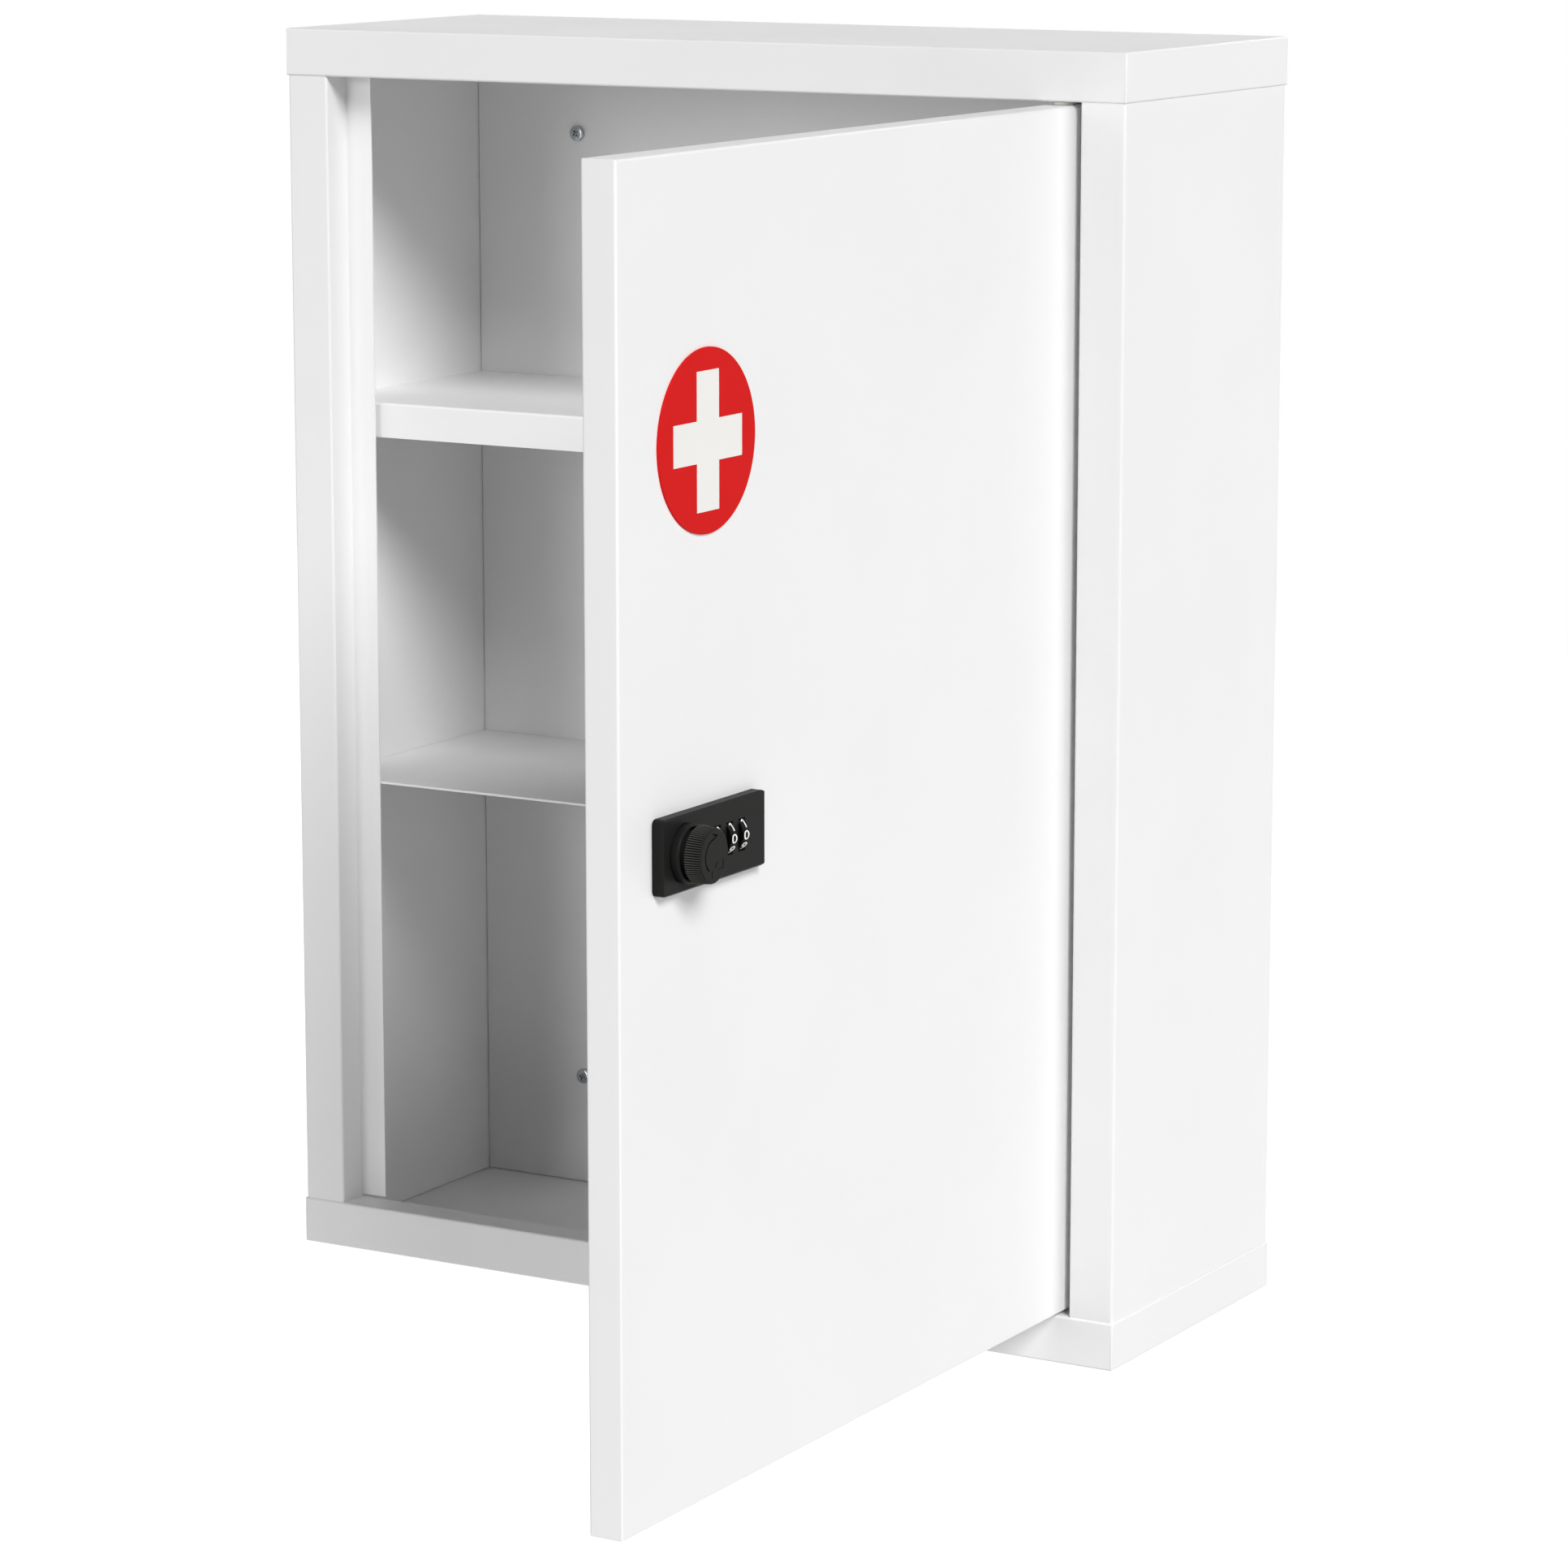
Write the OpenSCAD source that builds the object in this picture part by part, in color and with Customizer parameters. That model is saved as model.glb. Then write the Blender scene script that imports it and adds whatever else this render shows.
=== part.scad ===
// Lockable wall cabinet in folded sheet steel, with a hinged door and a number lock.
// The origin is the middle of the rear, on the wall. +X is right seen from the front,
// -Y is the front and +Z is up. The door is drawn standing open.

/* [Cabinet] */
// Width over the top cap
cab_w = 360; // [320:1:420]
// Height over both caps
cab_h = 480; // [440:1:560]
// Depth from the wall to the front of the caps
cab_d = 133.5; // [115:0.5:180]
// Height of the top cap and of the base tray
cap_h = 18; // [14:0.5:26]
// Width of each front upright, from the cap's side to the opening
frame_w = 18.4; // [15:0.1:26]
// Width of the door stop behind each upright
stop_w = 11.3; // [8:0.1:16]
// Gap between the end of a door stop and the tray's front return
stop_lift = 0.85; // [0.4:0.05:3]
// Width of the flange at the rear of each side
rear_flange_w = 15; // [10:0.5:25]

/* [Sheet gauges] */
// Sheet of the top cap and the base tray
tray_gauge = 0.6; // [0.5:0.1:1]
// Sheet of the sides
side_gauge = 0.7; // [0.5:0.1:1.2]
// Sheet of the back panel
back_gauge = 0.7; // [0.5:0.1:1.2]
// Sheet of the door shell and its liner
door_gauge = 0.7; // [0.5:0.1:1]
// Sheet of the upper shelf
shelf_gauge = 0.8; // [0.6:0.1:1.2]
// Inside radius of every fold
bend_r = 0.3; // [0.2:0.05:0.5]

/* [Shelves] */
// Height of the upper shelf's top above the cabinet's underside
upper_shelf_z = 336; // [300:1:380]
// Height of the upper shelf's front lip
shelf_lip_h = 13.5; // [10:0.5:20]
// Height of the upper shelf's side and rear flanges
shelf_flange_h = 10; // [6:0.5:10]
// Height of the lower shelf's top above the cabinet's underside
lower_shelf_z = 187; // [150:1:200]
// Thickness of the lower shelf
plate_t = 1; // [0.8:0.1:2]
// Legs of the angle that carries the lower shelf
rail_leg = 8; // [6:0.5:12]
// Thickness of that angle
rail_t = 1; // [0.8:0.1:1.5]

/* [Door] */
// Thickness of the door
door_t = 12.9; // [12.7:0.1:18]
// How far the shut door's face lies behind the front of the caps
door_set = 0.3; // [0:0.1:1]
// Gap between the shut door and the hinge side upright
hinge_gap = 2.9; // [2.5:0.1:4]
// Gap between the shut door and the free side upright
free_gap = 2.3; // [1.8:0.1:4]
// Gap above and below the door
end_gap = 1.4; // [1:0.1:2.5]
// Gap between the shut door and the door stops
stop_gap = 0.2; // [0.15:0.05:1]
// Width of the lip round the door's inner face
door_lip_w = 14; // [8:0.5:20]
// How far the door stands open
door_open = 90; // [0:1:105]

/* [Hinge] */
// Radius of the hinge pins
pin_r = 2; // [1.5:0.1:2.4]
// Length of each bush inside the door
bush_len = 8; // [5:0.5:15]
// Wall of each bush
bush_wall = 1; // [0.6:0.1:1.4]
// Thickness of the riveted head of each pin
pin_head_t = 1.2; // [0.8:0.1:2]

/* [Badge] */
// Radius of the badge on the door
badge_r = 29.8; // [26:0.1:36]
// Thickness of the badge
badge_t = 0.8; // [0.4:0.1:1.5]
// Middle of the badge below the top of the cabinet
badge_drop = 111.3; // [90:0.1:140]
// Middle of the badge from the door's free edge
badge_edge = 52.9; // [46:0.1:80]
// Height of the cross on the badge
cross_h = 44.9; // [36:0.1:48]
// Width of the cross on the badge
cross_w = 42.1; // [36:0.1:48]
// Width of the arms of the cross
cross_arm = 13.5; // [10:0.1:16]
// Thickness of the cross
cross_t = 0.2; // [0.1:0.05:0.4]

/* [Lock] */
// Length of the lock plate
lock_w = 63.8; // [62:0.1:75]
// Height of the lock plate
lock_h = 25; // [24:0.1:32]
// Thickness of the lock plate
lock_t = 4.2; // [3.6:0.1:5]
// Corner radius of the lock plate
lock_r = 2; // [1:0.1:4]
// Near end of the lock plate from the door's free edge
lock_edge = 19.3; // [17:0.1:30]
// Middle of the lock above the cabinet's underside
lock_z = 239.4; // [225:0.1:255]
// Knob axis from the near end of the lock plate
knob_inset = 13.7; // [13:0.1:15]
// Radius of the collar round the knob
collar_r = 9.7; // [9:0.1:10]
// Height of the collar above the plate
collar_h = 3.2; // [2:0.1:5]
// Radius of the knob over its grips
knob_r = 9.6; // [9:0.1:10.5]
// Height of the knob's front above the plate
knob_h = 10.7; // [8.5:0.1:14]
// Ridges round the knob
knob_ridges = 72; // [40:2:80]
// Radius of the spindle behind the knob
spindle_r = 3; // [2.8:0.1:3.4]
// Radius of the lock's barrel
barrel_r = 6; // [5.5:0.1:6.5]
// Thickness of the nut on the barrel
nut_t = 3; // [2:0.1:4]
// Width of the nut across its flats
nut_flats = 16; // [15:0.5:19]

/* [Number wheels] */
// Radius of a number wheel
wheel_r = 6.4; // [6.2:0.1:6.8]
// Width of a number wheel
wheel_w = 3.8; // [3.4:0.1:4.6]
// Distance from one number wheel to the next
wheel_pitch = 7.6; // [7.2:0.1:8]
// Last number wheel from the far end of the plate
wheel_inset = 15.1; // [11:0.1:15.5]
// How far the wheels stand out of the plate
wheel_proud = 1.8; // [1:0.1:2.4]
// Gap between a wheel and the ends of its window
window_gap = 0.15; // [0.1:0.05:0.6]
// Radius of the wheels' axle
axle_r = 1.5; // [1.2:0.1:1.8]

/* [Cam] */
// Thickness of the cam
cam_t = 2; // [1.5:0.1:2.5]
// Width of the cam's arm
cam_w = 12; // [10:0.5:14]
// How far the turned cam reaches behind the door stop
cam_bite = 7; // [4:0.5:8]
// Gap between the turned cam and the door stop
cam_gap = 0.4; // [0.3:0.05:0.8]

/* [Wall screws] */
// Screws from the cabinet's sides
screw_inset_x = 49; // [35:1:70]
// Screws from the cabinet's top and bottom
screw_inset_z = 46; // [35:1:70]
// Radius of the screw thread
screw_r = 1.75; // [1.5:0.05:2.5]
// Radius of the screw head
screw_head_r = 3.1; // [2.9:0.1:4.5]
// Height of the screw head
screw_head_h = 2.1; // [1.5:0.1:3]
// Length of the screws in the wall
screw_len = 25; // [15:1:50]

/* [Hidden] */
$fn = 64;
WHEELS = 3;

coat = "#f0f0ef";
zinc = "#c3c6c8";
black = "#2b2b2b";

// Clearances
run = 0.05;          // round a turning shaft
lay = 0.2;           // beside a loose shelf
past = 1;            // how far a cut runs past a face
bend_steps = 4;      // flats in the quarter turn of a fold
round_steps = 32;    // flats in the half turn of the door's hinge edge

// Carcass
fold_r = bend_r + tray_gauge;
half_w = cab_w / 2;
half_h = cab_h / 2;
open_half = half_w - frame_w;
side_out = half_w - tray_gauge;
side_in = side_out - side_gauge;
side_end = half_h - tray_gauge - bend_r;
back_rear = -tray_gauge - side_gauge;
back_front = back_rear - back_gauge;
stop_y = -cab_d + door_set + door_t + stop_gap;
stop_rear = stop_y + side_gauge;
return_back = 0.4;   // the tray's return ends this far ahead of the stops
return_y = stop_y - return_back;
return_side = 0.1;   // beside the tray's return
stop_end = half_h - cap_h - stop_lift;

// Shelves
shelf_set = 2.4;     // upper shelf behind the door stops
plate_set = 0.1;     // lower shelf behind the door stops
upper_z = upper_shelf_z - half_h;
lower_z = lower_shelf_z - half_h;
flange_set = 20;     // side flange behind the shelf's front
rail_front = 46;     // angle behind the lower shelf's front
rail_rear = 6;       // angle ahead of the back panel

// Door and hinge
hinge_x = open_half - hinge_gap - door_t / 2;
hinge_y = -cab_d + door_set + door_t / 2;
door_reach = hinge_x + open_half - free_gap;
door_half_h = half_h - cap_h - end_gap;
door_fold_r = bend_r + door_gauge;
liner_set = 2;       // liner beside the hinge axis
bush_r = pin_r + run + bush_wall;
bush_rim = 1.2;      // bush flange over the bush
bush_flange_r = bush_r + bush_rim;
bush_flange_t = end_gap - lay;
pin_rim = 1.5;       // pin head over the pin
pin_head_r = pin_r + pin_rim;
pin_tip = 1;         // height of a pin's tapered end
pin_taper = 0.6;     // how much that end narrows

// Lock, measured from the knob axis on the door's outer face
lock_from_hinge = door_reach - lock_edge - knob_inset;
plate_x0 = -knob_inset;
plate_x1 = lock_w - knob_inset;
body_wall = 1.6;
body_gap = 1.2;      // lock body ahead of the liner
body_d = door_t - 2 * door_gauge - body_gap;
plate_skin = 1;      // front wall of the lock plate
plate_edge = 0.6;    // chamfer round its front
body_set_x = 3;      // ends of the body inside the plate's ends
body_set_y = 2.2;    // sides of the body inside the plate's sides
body_x0 = plate_x0 + body_set_x;
body_x1 = plate_x1 - body_set_x;
body_half_h = lock_h / 2 - body_set_y;
body_slip = 0.2;     // lock body in the door's cut-out
liner_back = door_t - door_gauge;
barrel_past = 0.7;   // barrel past its nut
barrel_end = liner_back + nut_t + barrel_past;
knob_gap = 1.3;      // between the collar and the knob's ridges
knob_chamfer = 0.6;
cone_step = 0.1;     // foot of the chamfer inside the ridges
ridge_deep = 0.35;
neck_set = 1.2;      // knob's neck inside the collar
neck_r = collar_r - neck_set;
neck_gap = 0.1;      // under the knob's neck
collar_wall = 1.1;
collar_slip = 0.2;   // between the collar and the knob's neck
collar_soft = 0.8;   // rounding of the collar's outer edge
front_skin = 3;      // knob in front of its spindle
mark_w = 0.45;       // lines cut in the knob's front
mark_deep = 0.4;
arc_mark_r = 5.2;    // middle of the curved line
arc_mark_from = 97;
arc_mark_to = 233;
arc_steps = 16;
pointer_set = 1.1;   // straight line beside the knob's axis
pointer_from = 4.4;  // its inner end
pointer_to = 7.1;    // its outer end

// Number wheels
axle_z = lock_t + wheel_proud - wheel_r;
last_wheel_x = plate_x1 - wheel_inset;
wheel_slip = 0.2;
window_w = wheel_w + 2 * wheel_slip;
skin_z = lock_t - plate_skin;
window_half = sqrt(pow(wheel_r, 2) - pow(skin_z - axle_z, 2)) + window_gap;
axle_half = wheel_pitch + wheel_w / 2 + wheel_slip + body_wall;
groove_r = 0.4;
groove_lift = 0.13;  // middle of a groove outside the wheel
digits = 10;
web_wall = 1.3;      // casting behind the axle, between two wheels
spring_t = 0.3;
spring_gap = 0.2;    // between the wheels and the spring
spring_h = 9;
slit_w = 1.2;        // between two leaves of the spring
slit_root = 2;       // where the leaves join

// Cam
shut_stop_depth = stop_rear + cab_d - door_set;
arm_front = shut_stop_depth + cam_gap;
hub_gap = 0.15;      // between the barrel and the cam
hub_front = barrel_end + hub_gap;
cam_reach = lock_edge + knob_inset + free_gap - stop_w + cam_bite;
crank_gap = 1.4;     // between the nut's corners and the crank
crank_at = nut_flats / sqrt(3) + crank_gap;
crank_len = 3;
arm_corner = 3;      // corner radius of the cam's end
hub_r = 8;
square_half = 2.2;
washer_r = 5;
washer_t = 0.8;
cam_screw_r = 1.5;
cam_screw_len = 5;   // thread inside the spindle
thread_room = 1;     // hole past the end of that thread
cam_head_r = 3.4;
cam_head_h = 2.4;

// Small screws
cross_slot = 0.9;    // width of a cross recess
recess_share = 0.55; // reach of a cross recess in a screw head
recess_deep = 1.1;
screw_slack = 0.45;  // round a wall screw in the back panel
screw_neck = 0.25;   // neck of a wall screw over its thread
neck_end = 0.3;      // neck past the back panel
screw_tip = 3;
screw_tip_r = 0.3;
head_soft = 0.9;     // rounding of a wall screw's head
plate_screw_r = 1;
plate_screw_head_r = 1.9;
plate_screw_head_h = 0.9;
plate_slot_deep = 0.5;
plate_screw_set = 2.6; // from the body's edges

// Geometry helpers

function unit(v) = v / norm(v);
function left_of(v) = [-v[1], v[0]];
function turn(a, b) = a[0] * b[1] - a[1] * b[0];
function flip(p) = [for (i = [len(p) - 1 : -1 : 0]) p[i]];

// Points of an arc from angle a0 to a1
function arc(c, r, a0, a1, steps) =
    [for (i = [0 : steps]) let (a = a0 + (a1 - a0) * i / steps) c + r * [cos(a), sin(a)]];

// A path moved to its left by d, with mitred corners
function beside(p, d) = [for (i = [0 : len(p) - 1])
    let (a = i > 0 ? unit(p[i] - p[i - 1]) : unit(p[1] - p[0]),
         b = i < len(p) - 1 ? unit(p[i + 1] - p[i]) : a,
         n = left_of(a) + left_of(b))
    p[i] + n * 2 * d / (n * n)];

// Points that round the corner between two directions at right angles
function corner(p, a, b, r) =
    let (s = turn(a, b) > 0 ? 1 : -1,
         c = p - a * r + left_of(a) * r * s,
         start = atan2(-left_of(a)[1] * s, -left_of(a)[0] * s))
    arc(c, r, start, start + 90 * s, bend_steps);

// One side of a folded sheet: each inner point of the path becomes a fold
function folds(p, r_left, r_right) = [for (i = [0 : len(p) - 1])
    each (i == 0 || i == len(p) - 1) ? [p[i]] :
        let (a = unit(p[i] - p[i - 1]), b = unit(p[i + 1] - p[i]))
        corner(p[i], a, b, turn(a, b) > 0 ? r_left : r_right)];

// Outline of a sheet of gauge t, whose skin follows the path and whose metal is on its right
function folded(path, t) = concat(
    folds(path, bend_r, bend_r + t),
    flip(folds(beside(path, -t), bend_r + t, bend_r)));

// Outline of a rectangle with round corners
function soft_rect(lo, hi, r) = concat(
    arc([hi[0] - r, lo[1] + r], r, -90, 0, bend_steps),
    arc([hi[0] - r, hi[1] - r], r, 0, 90, bend_steps),
    arc([lo[0] + r, hi[1] - r], r, 90, 180, bend_steps),
    arc([lo[0] + r, lo[1] + r], r, 180, 270, bend_steps));

// A flat shape drawn in (y, z), carried from x0 to x1
module along_x(x0, x1) {
    translate([x0, 0, 0]) rotate([90, 0, 90]) linear_extrude(x1 - x0) children();
}

// A flat shape drawn in (x, z), carried from y0 to y1
module along_y(y0, y1) {
    translate([0, y1, 0]) rotate([90, 0, 0]) linear_extrude(y1 - y0) children();
}

// A flat shape drawn in (x, y), carried from z0 to z1
module along_z(z0, z1) {
    translate([0, 0, z0]) linear_extrude(z1 - z0) children();
}

// A block between two corners
module block(lo, hi) {
    translate(lo) cube(hi - lo);
}

// A block whose twelve edges are round
module soft_block(lo, hi, r) {
    intersection() {
        along_z(lo[2], hi[2]) polygon(soft_rect([lo[0], lo[1]], [hi[0], hi[1]], r));
        along_x(lo[0], hi[0]) polygon(soft_rect([lo[1], lo[2]], [hi[1], hi[2]], r));
        along_y(lo[1], hi[1]) polygon(soft_rect([lo[0], lo[2]], [hi[0], hi[2]], r));
    }
}

// A rod between two heights
module rod(r, z0, z1) {
    translate([0, 0, z0]) cylinder(r = r, h = z1 - z0);
}

// A cross of two bars, each w across and 2 * reach long
module cross_bars(reach_x, reach_y, w) {
    square([2 * reach_x, w], center = true);
    square([w, 2 * reach_y], center = true);
}

// Cross recess cut down into a screw head whose top is at z = 0
module cross_recess(head_r) {
    reach = head_r * recess_share;
    along_z(-recess_deep, past) cross_bars(reach, reach, cross_slot);
}

// Places

// Carries the door's own frame, with its hinge axis on z and its free edge towards -x, to the hinge
module at_door() {
    translate([hinge_x, hinge_y, 0]) rotate([0, 0, door_open]) children();
}

// Carries the lock's own frame: knob axis on z, outwards from the door, and x towards the hinge
module at_lock() {
    at_door() translate([-lock_from_hinge, -door_t / 2, lock_z - half_h]) rotate([90, 0, 0])
        children();
}

// The four places of the wall screws, with z into the wall
module at_wall_screws() {
    for (sx = [-1, 1], sz = [-1, 1])
        translate([sx * (half_w - screw_inset_x), back_rear, sz * (half_h - screw_inset_z)])
            rotate([-90, 0, 0]) children();
}

// Carcass

// Base tray: floor, four walls and a front return between the uprights
module tray() {
    low = -half_h;
    top = low + cap_h;
    cut_z = top - tray_gauge - bend_r;
    inner_x = half_w - tray_gauge;
    difference() {
        soft_block([-half_w, -cab_d, low], [half_w, 0, top], fold_r);
        soft_block([-inner_x, -cab_d + tray_gauge, low + tray_gauge],
                   [inner_x, -tray_gauge, top - tray_gauge], bend_r);
        block([-inner_x, return_y, cut_z], [inner_x, -tray_gauge, top + past]);
        for (s = [-1, 1])
            block([min(s * (open_half - return_side), s * inner_x), -cab_d + tray_gauge, cut_z],
                  [max(s * (open_half - return_side), s * inner_x), return_y + past, top + past]);
        translate([hinge_x, hinge_y, 0]) rod(pin_r, cut_z - past, top + past);
    }
}

module top_cap() {
    color(coat) mirror([0, 0, 1]) tray();
}

module base_tray() {
    color(coat) tray();
}

// Left side: rear flange, side, upright, return and door stop, folded from one sheet
module side() {
    edge = -half_w + frame_w;
    path = [[edge + stop_w, stop_y], [edge, stop_y], [edge, -cab_d + tray_gauge],
            [-side_out, -cab_d + tray_gauge], [-side_out, -tray_gauge],
            [-side_out + rear_flange_w, -tray_gauge]];
    difference() {
        along_z(-side_end, side_end) polygon(folded(path, side_gauge));
        for (s = [-1, 1])
            block([edge + bend_r, stop_y - past, min(s * stop_end, s * half_h)],
                  [edge + stop_w + past, stop_rear + past, max(s * stop_end, s * half_h)]);
    }
}

module left_side() {
    color(coat) side();
}

module right_side() {
    color(coat) mirror([1, 0, 0]) side();
}

module back_panel() {
    panel_half = side_in - bend_r;
    color(coat) difference() {
        block([-panel_half, back_front, -side_end], [panel_half, back_rear, side_end]);
        at_wall_screws() rod(screw_r + screw_slack, -back_gauge - past, past);
    }
}

// Upper shelf: front lip, plate and three flanges, fixed to the sides and the back
module upper_shelf() {
    front = stop_rear + shelf_set;
    flange_z = upper_z - shelf_flange_h;
    color(coat) {
        along_x(-side_in, side_in) polygon(folded(
            [[front, upper_z - shelf_lip_h], [front, upper_z],
             [back_front, upper_z], [back_front, flange_z]], shelf_gauge));
        along_y(front + flange_set, back_front - bend_r - shelf_gauge) polygon(folded(
            [[-side_in, flange_z], [-side_in, upper_z],
             [side_in, upper_z], [side_in, flange_z]], shelf_gauge));
    }
}

// Lower shelf: a plain plate that lies on two angles
module lower_shelf() {
    color(coat) block([-side_in + lay, stop_rear + plate_set, lower_z - plate_t],
                      [side_in - lay, back_front - lay, lower_z]);
}

// Angle under the left end of the lower shelf
module shelf_rail() {
    top = lower_z - plate_t;
    color(coat) along_y(stop_rear + plate_set + rail_front, back_front - rail_rear)
        polygon(folded([[-side_in, top - rail_leg], [-side_in, top], [-side_in + rail_leg, top]],
                       rail_t));
}

module shelf_rail_left() {
    shelf_rail();
}

module shelf_rail_right() {
    mirror([1, 0, 0]) shelf_rail();
}

// Pan head screws through the back into the wall
module wall_screws() {
    seat = -back_gauge;
    top = seat - screw_head_h;
    color(zinc) at_wall_screws() difference() {
        union() {
            rotate_extrude() polygon(concat(
                [[0, seat], [screw_head_r, seat]],
                arc([screw_head_r - head_soft, top + head_soft], head_soft, 0, -90, bend_steps),
                [[0, top]]));
            rod(screw_r + screw_neck, seat, neck_end);
            rod(screw_r, neck_end, screw_len - screw_tip);
            translate([0, 0, screw_len - screw_tip])
                cylinder(r1 = screw_r, r2 = screw_tip_r, h = screw_tip);
        }
        translate([0, 0, top]) mirror([0, 0, 1]) cross_recess(screw_head_r);
    }
}

// Hinge

// Bottom pin, riveted into the base tray's return
module hinge_pin() {
    plate = -half_h + cap_h;
    top = plate + end_gap + bush_len - lay;
    color(zinc) translate([hinge_x, hinge_y, 0]) {
        rod(pin_head_r, plate - tray_gauge - pin_head_t, plate - tray_gauge);
        rod(pin_r, plate - tray_gauge, top - pin_tip);
        translate([0, 0, top - pin_tip]) cylinder(r1 = pin_r, r2 = pin_r - pin_taper, h = pin_tip);
    }
}

module hinge_pin_bottom() {
    hinge_pin();
}

module hinge_pin_top() {
    mirror([0, 0, 1]) hinge_pin();
}

// Bottom bush, pushed into the door's lower end
module hinge_bush() {
    low = -door_half_h;
    color("#e8e6dc") at_door() difference() {
        union() {
            rod(bush_flange_r, low - bush_flange_t, low);
            rod(bush_r, low, low + bush_len);
        }
        rod(pin_r + run, low - bush_flange_t - past, low + bush_len + past);
    }
}

module hinge_bush_bottom() {
    hinge_bush();
}

module hinge_bush_top() {
    mirror([0, 0, 1]) hinge_bush();
}

// Door

// Section of the door: a round hinge edge on the axis and a folded free edge
function door_section(inset) =
    let (h = door_t / 2 - inset, x0 = -door_reach + inset, r = door_fold_r - inset)
    concat(arc([0, 0], h, -90, 90, round_steps),
           arc([x0 + r, h - r], r, 90, 180, bend_steps),
           arc([x0 + r, r - h], r, 180, 270, bend_steps));

// Section of the door seen from its side, with folded ends
module door_ends(inset) {
    along_x(-door_reach - past, door_t)
        polygon(soft_rect([inset - door_t / 2, inset - door_half_h],
                          [door_t / 2 - inset, door_half_h - inset], door_fold_r - inset));
}

// The door's outline, drawn in by inset
module door_block(inset) {
    intersection() {
        along_z(-door_half_h + inset, door_half_h - inset) polygon(door_section(inset));
        door_ends(inset);
    }
}

module door_shell() {
    color(coat) at_door() difference() {
        door_block(0);
        door_block(door_gauge);
        block([-door_reach + door_lip_w, 0, -door_half_h + door_lip_w],
              [-door_lip_w, door_t / 2 + past, door_half_h - door_lip_w]);
        rod(bush_r, -door_half_h - past, door_half_h + past);
        translate([-lock_from_hinge, -door_t / 2, lock_z - half_h])
            block([body_x0 - body_slip, -past, -body_half_h - body_slip],
                  [body_x1 + body_slip, door_gauge + past, body_half_h + body_slip]);
    }
}

// Inner sheet of the door, behind the lip
module door_liner() {
    inner = door_t / 2 - door_gauge;
    margin = door_gauge + bend_r;
    color(coat) at_door() difference() {
        block([-door_reach + margin, inner - door_gauge, -door_half_h + margin],
              [-liner_set, inner, door_half_h - margin]);
        translate([-lock_from_hinge, 0, lock_z - half_h]) rotate([-90, 0, 0])
            rod(barrel_r, -door_t, door_t);
    }
}

// Places the badge's own frame on the door's outer face, with z outwards
module at_badge() {
    at_door() translate([badge_edge - door_reach, -door_t / 2, half_h - badge_drop])
        rotate([90, 0, 0]) children();
}

module badge_disc() {
    color("#d82626") at_badge() rod(badge_r, 0, badge_t);
}

module badge_cross() {
    color("#eeede9") at_badge() along_z(badge_t, badge_t + cross_t)
        cross_bars(cross_w / 2, cross_h / 2, cross_arm);
}

// Lock, on the door

// Middle of wheel i along the lock
function wheel_x(i) = last_wheel_x - (WHEELS - i) * wheel_pitch;

// Carries the wheels' own frame, with the axle on z, to wheel i
module at_wheel(i) {
    at_lock() translate([wheel_x(i), 0, axle_z]) rotate([0, 90, 0]) children();
}

// Room for the wheels, in the lock's frame
module wheel_rooms() {
    for (i = [1 : WHEELS])
        translate([wheel_x(i), 0, axle_z]) rotate([0, 90, 0])
            rod(wheel_r + wheel_slip, -wheel_w / 2 - wheel_slip, wheel_w / 2 + wheel_slip);
}

// Seat of the wheels' axle, between the body and the plate
module axle_room() {
    translate([wheel_x(2), 0, axle_z]) rotate([0, 90, 0]) rod(axle_r, -axle_half, axle_half);
}

// Front plate, with a window for each wheel
module lock_plate() {
    flat_z = lock_t - plate_edge;
    color(black) at_lock() difference() {
        intersection() {
            along_z(0, lock_t) polygon(soft_rect([plate_x0, -lock_h / 2],
                                                 [plate_x1, lock_h / 2], lock_r));
            along_y(-lock_h, lock_h) polygon([
                [plate_x0, 0], [plate_x1, 0], [plate_x1, flat_z],
                [plate_x1 - plate_edge, lock_t], [plate_x0 + plate_edge, lock_t],
                [plate_x0, flat_z]]);
            along_x(plate_x0 - past, plate_x1 + past) polygon([
                [-lock_h / 2, 0], [lock_h / 2, 0], [lock_h / 2, flat_z],
                [lock_h / 2 - plate_edge, lock_t], [plate_edge - lock_h / 2, lock_t],
                [-lock_h / 2, flat_z]]);
        }
        rod(collar_r, skin_z, lock_t + past);
        rod(collar_r - collar_wall, -past, lock_t);
        for (i = [1 : WHEELS])
            translate([wheel_x(i), 0, 0])
                block([-window_w / 2, -window_half, skin_z - past],
                      [window_w / 2, window_half, lock_t + past]);
        intersection() {
            wheel_rooms();
            block([plate_x0, -lock_h, -past], [plate_x1, lock_h, skin_z]);
        }
        axle_room();
    }
}

// Casting behind the plate, with the barrel that passes through the door
module lock_body() {
    rooms_end = axle_z - wheel_r - spring_gap - spring_t;
    wheels_half = wheel_pitch + wheel_w / 2 + wheel_slip;
    wheels_mid = wheel_x(2);
    color(zinc) at_lock() difference() {
        union() {
            along_z(-body_d, 0) polygon(soft_rect([body_x0, -body_half_h],
                                                  [body_x1, body_half_h], lock_r));
            rod(barrel_r, -barrel_end, -body_d);
            rod(collar_r - collar_wall, 0, skin_z);
        }
        rod(spindle_r + run, -barrel_end - past, lock_t);
        wheel_rooms();
        axle_room();
        block([wheels_mid - wheels_half, -spring_h / 2, rooms_end],
              [wheels_mid + wheels_half, spring_h / 2, axle_z - axle_r - web_wall]);
        for (p = screw_places())
            translate([p[0], p[1], 0]) rod(plate_screw_r, -body_d - past, past);
    }
}

// Places of the two screws that hold the plate to the body
function screw_places() = [
    [body_x0 + plate_screw_set, body_half_h - plate_screw_set],
    [body_x1 - plate_screw_set, plate_screw_set - body_half_h]];

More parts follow.
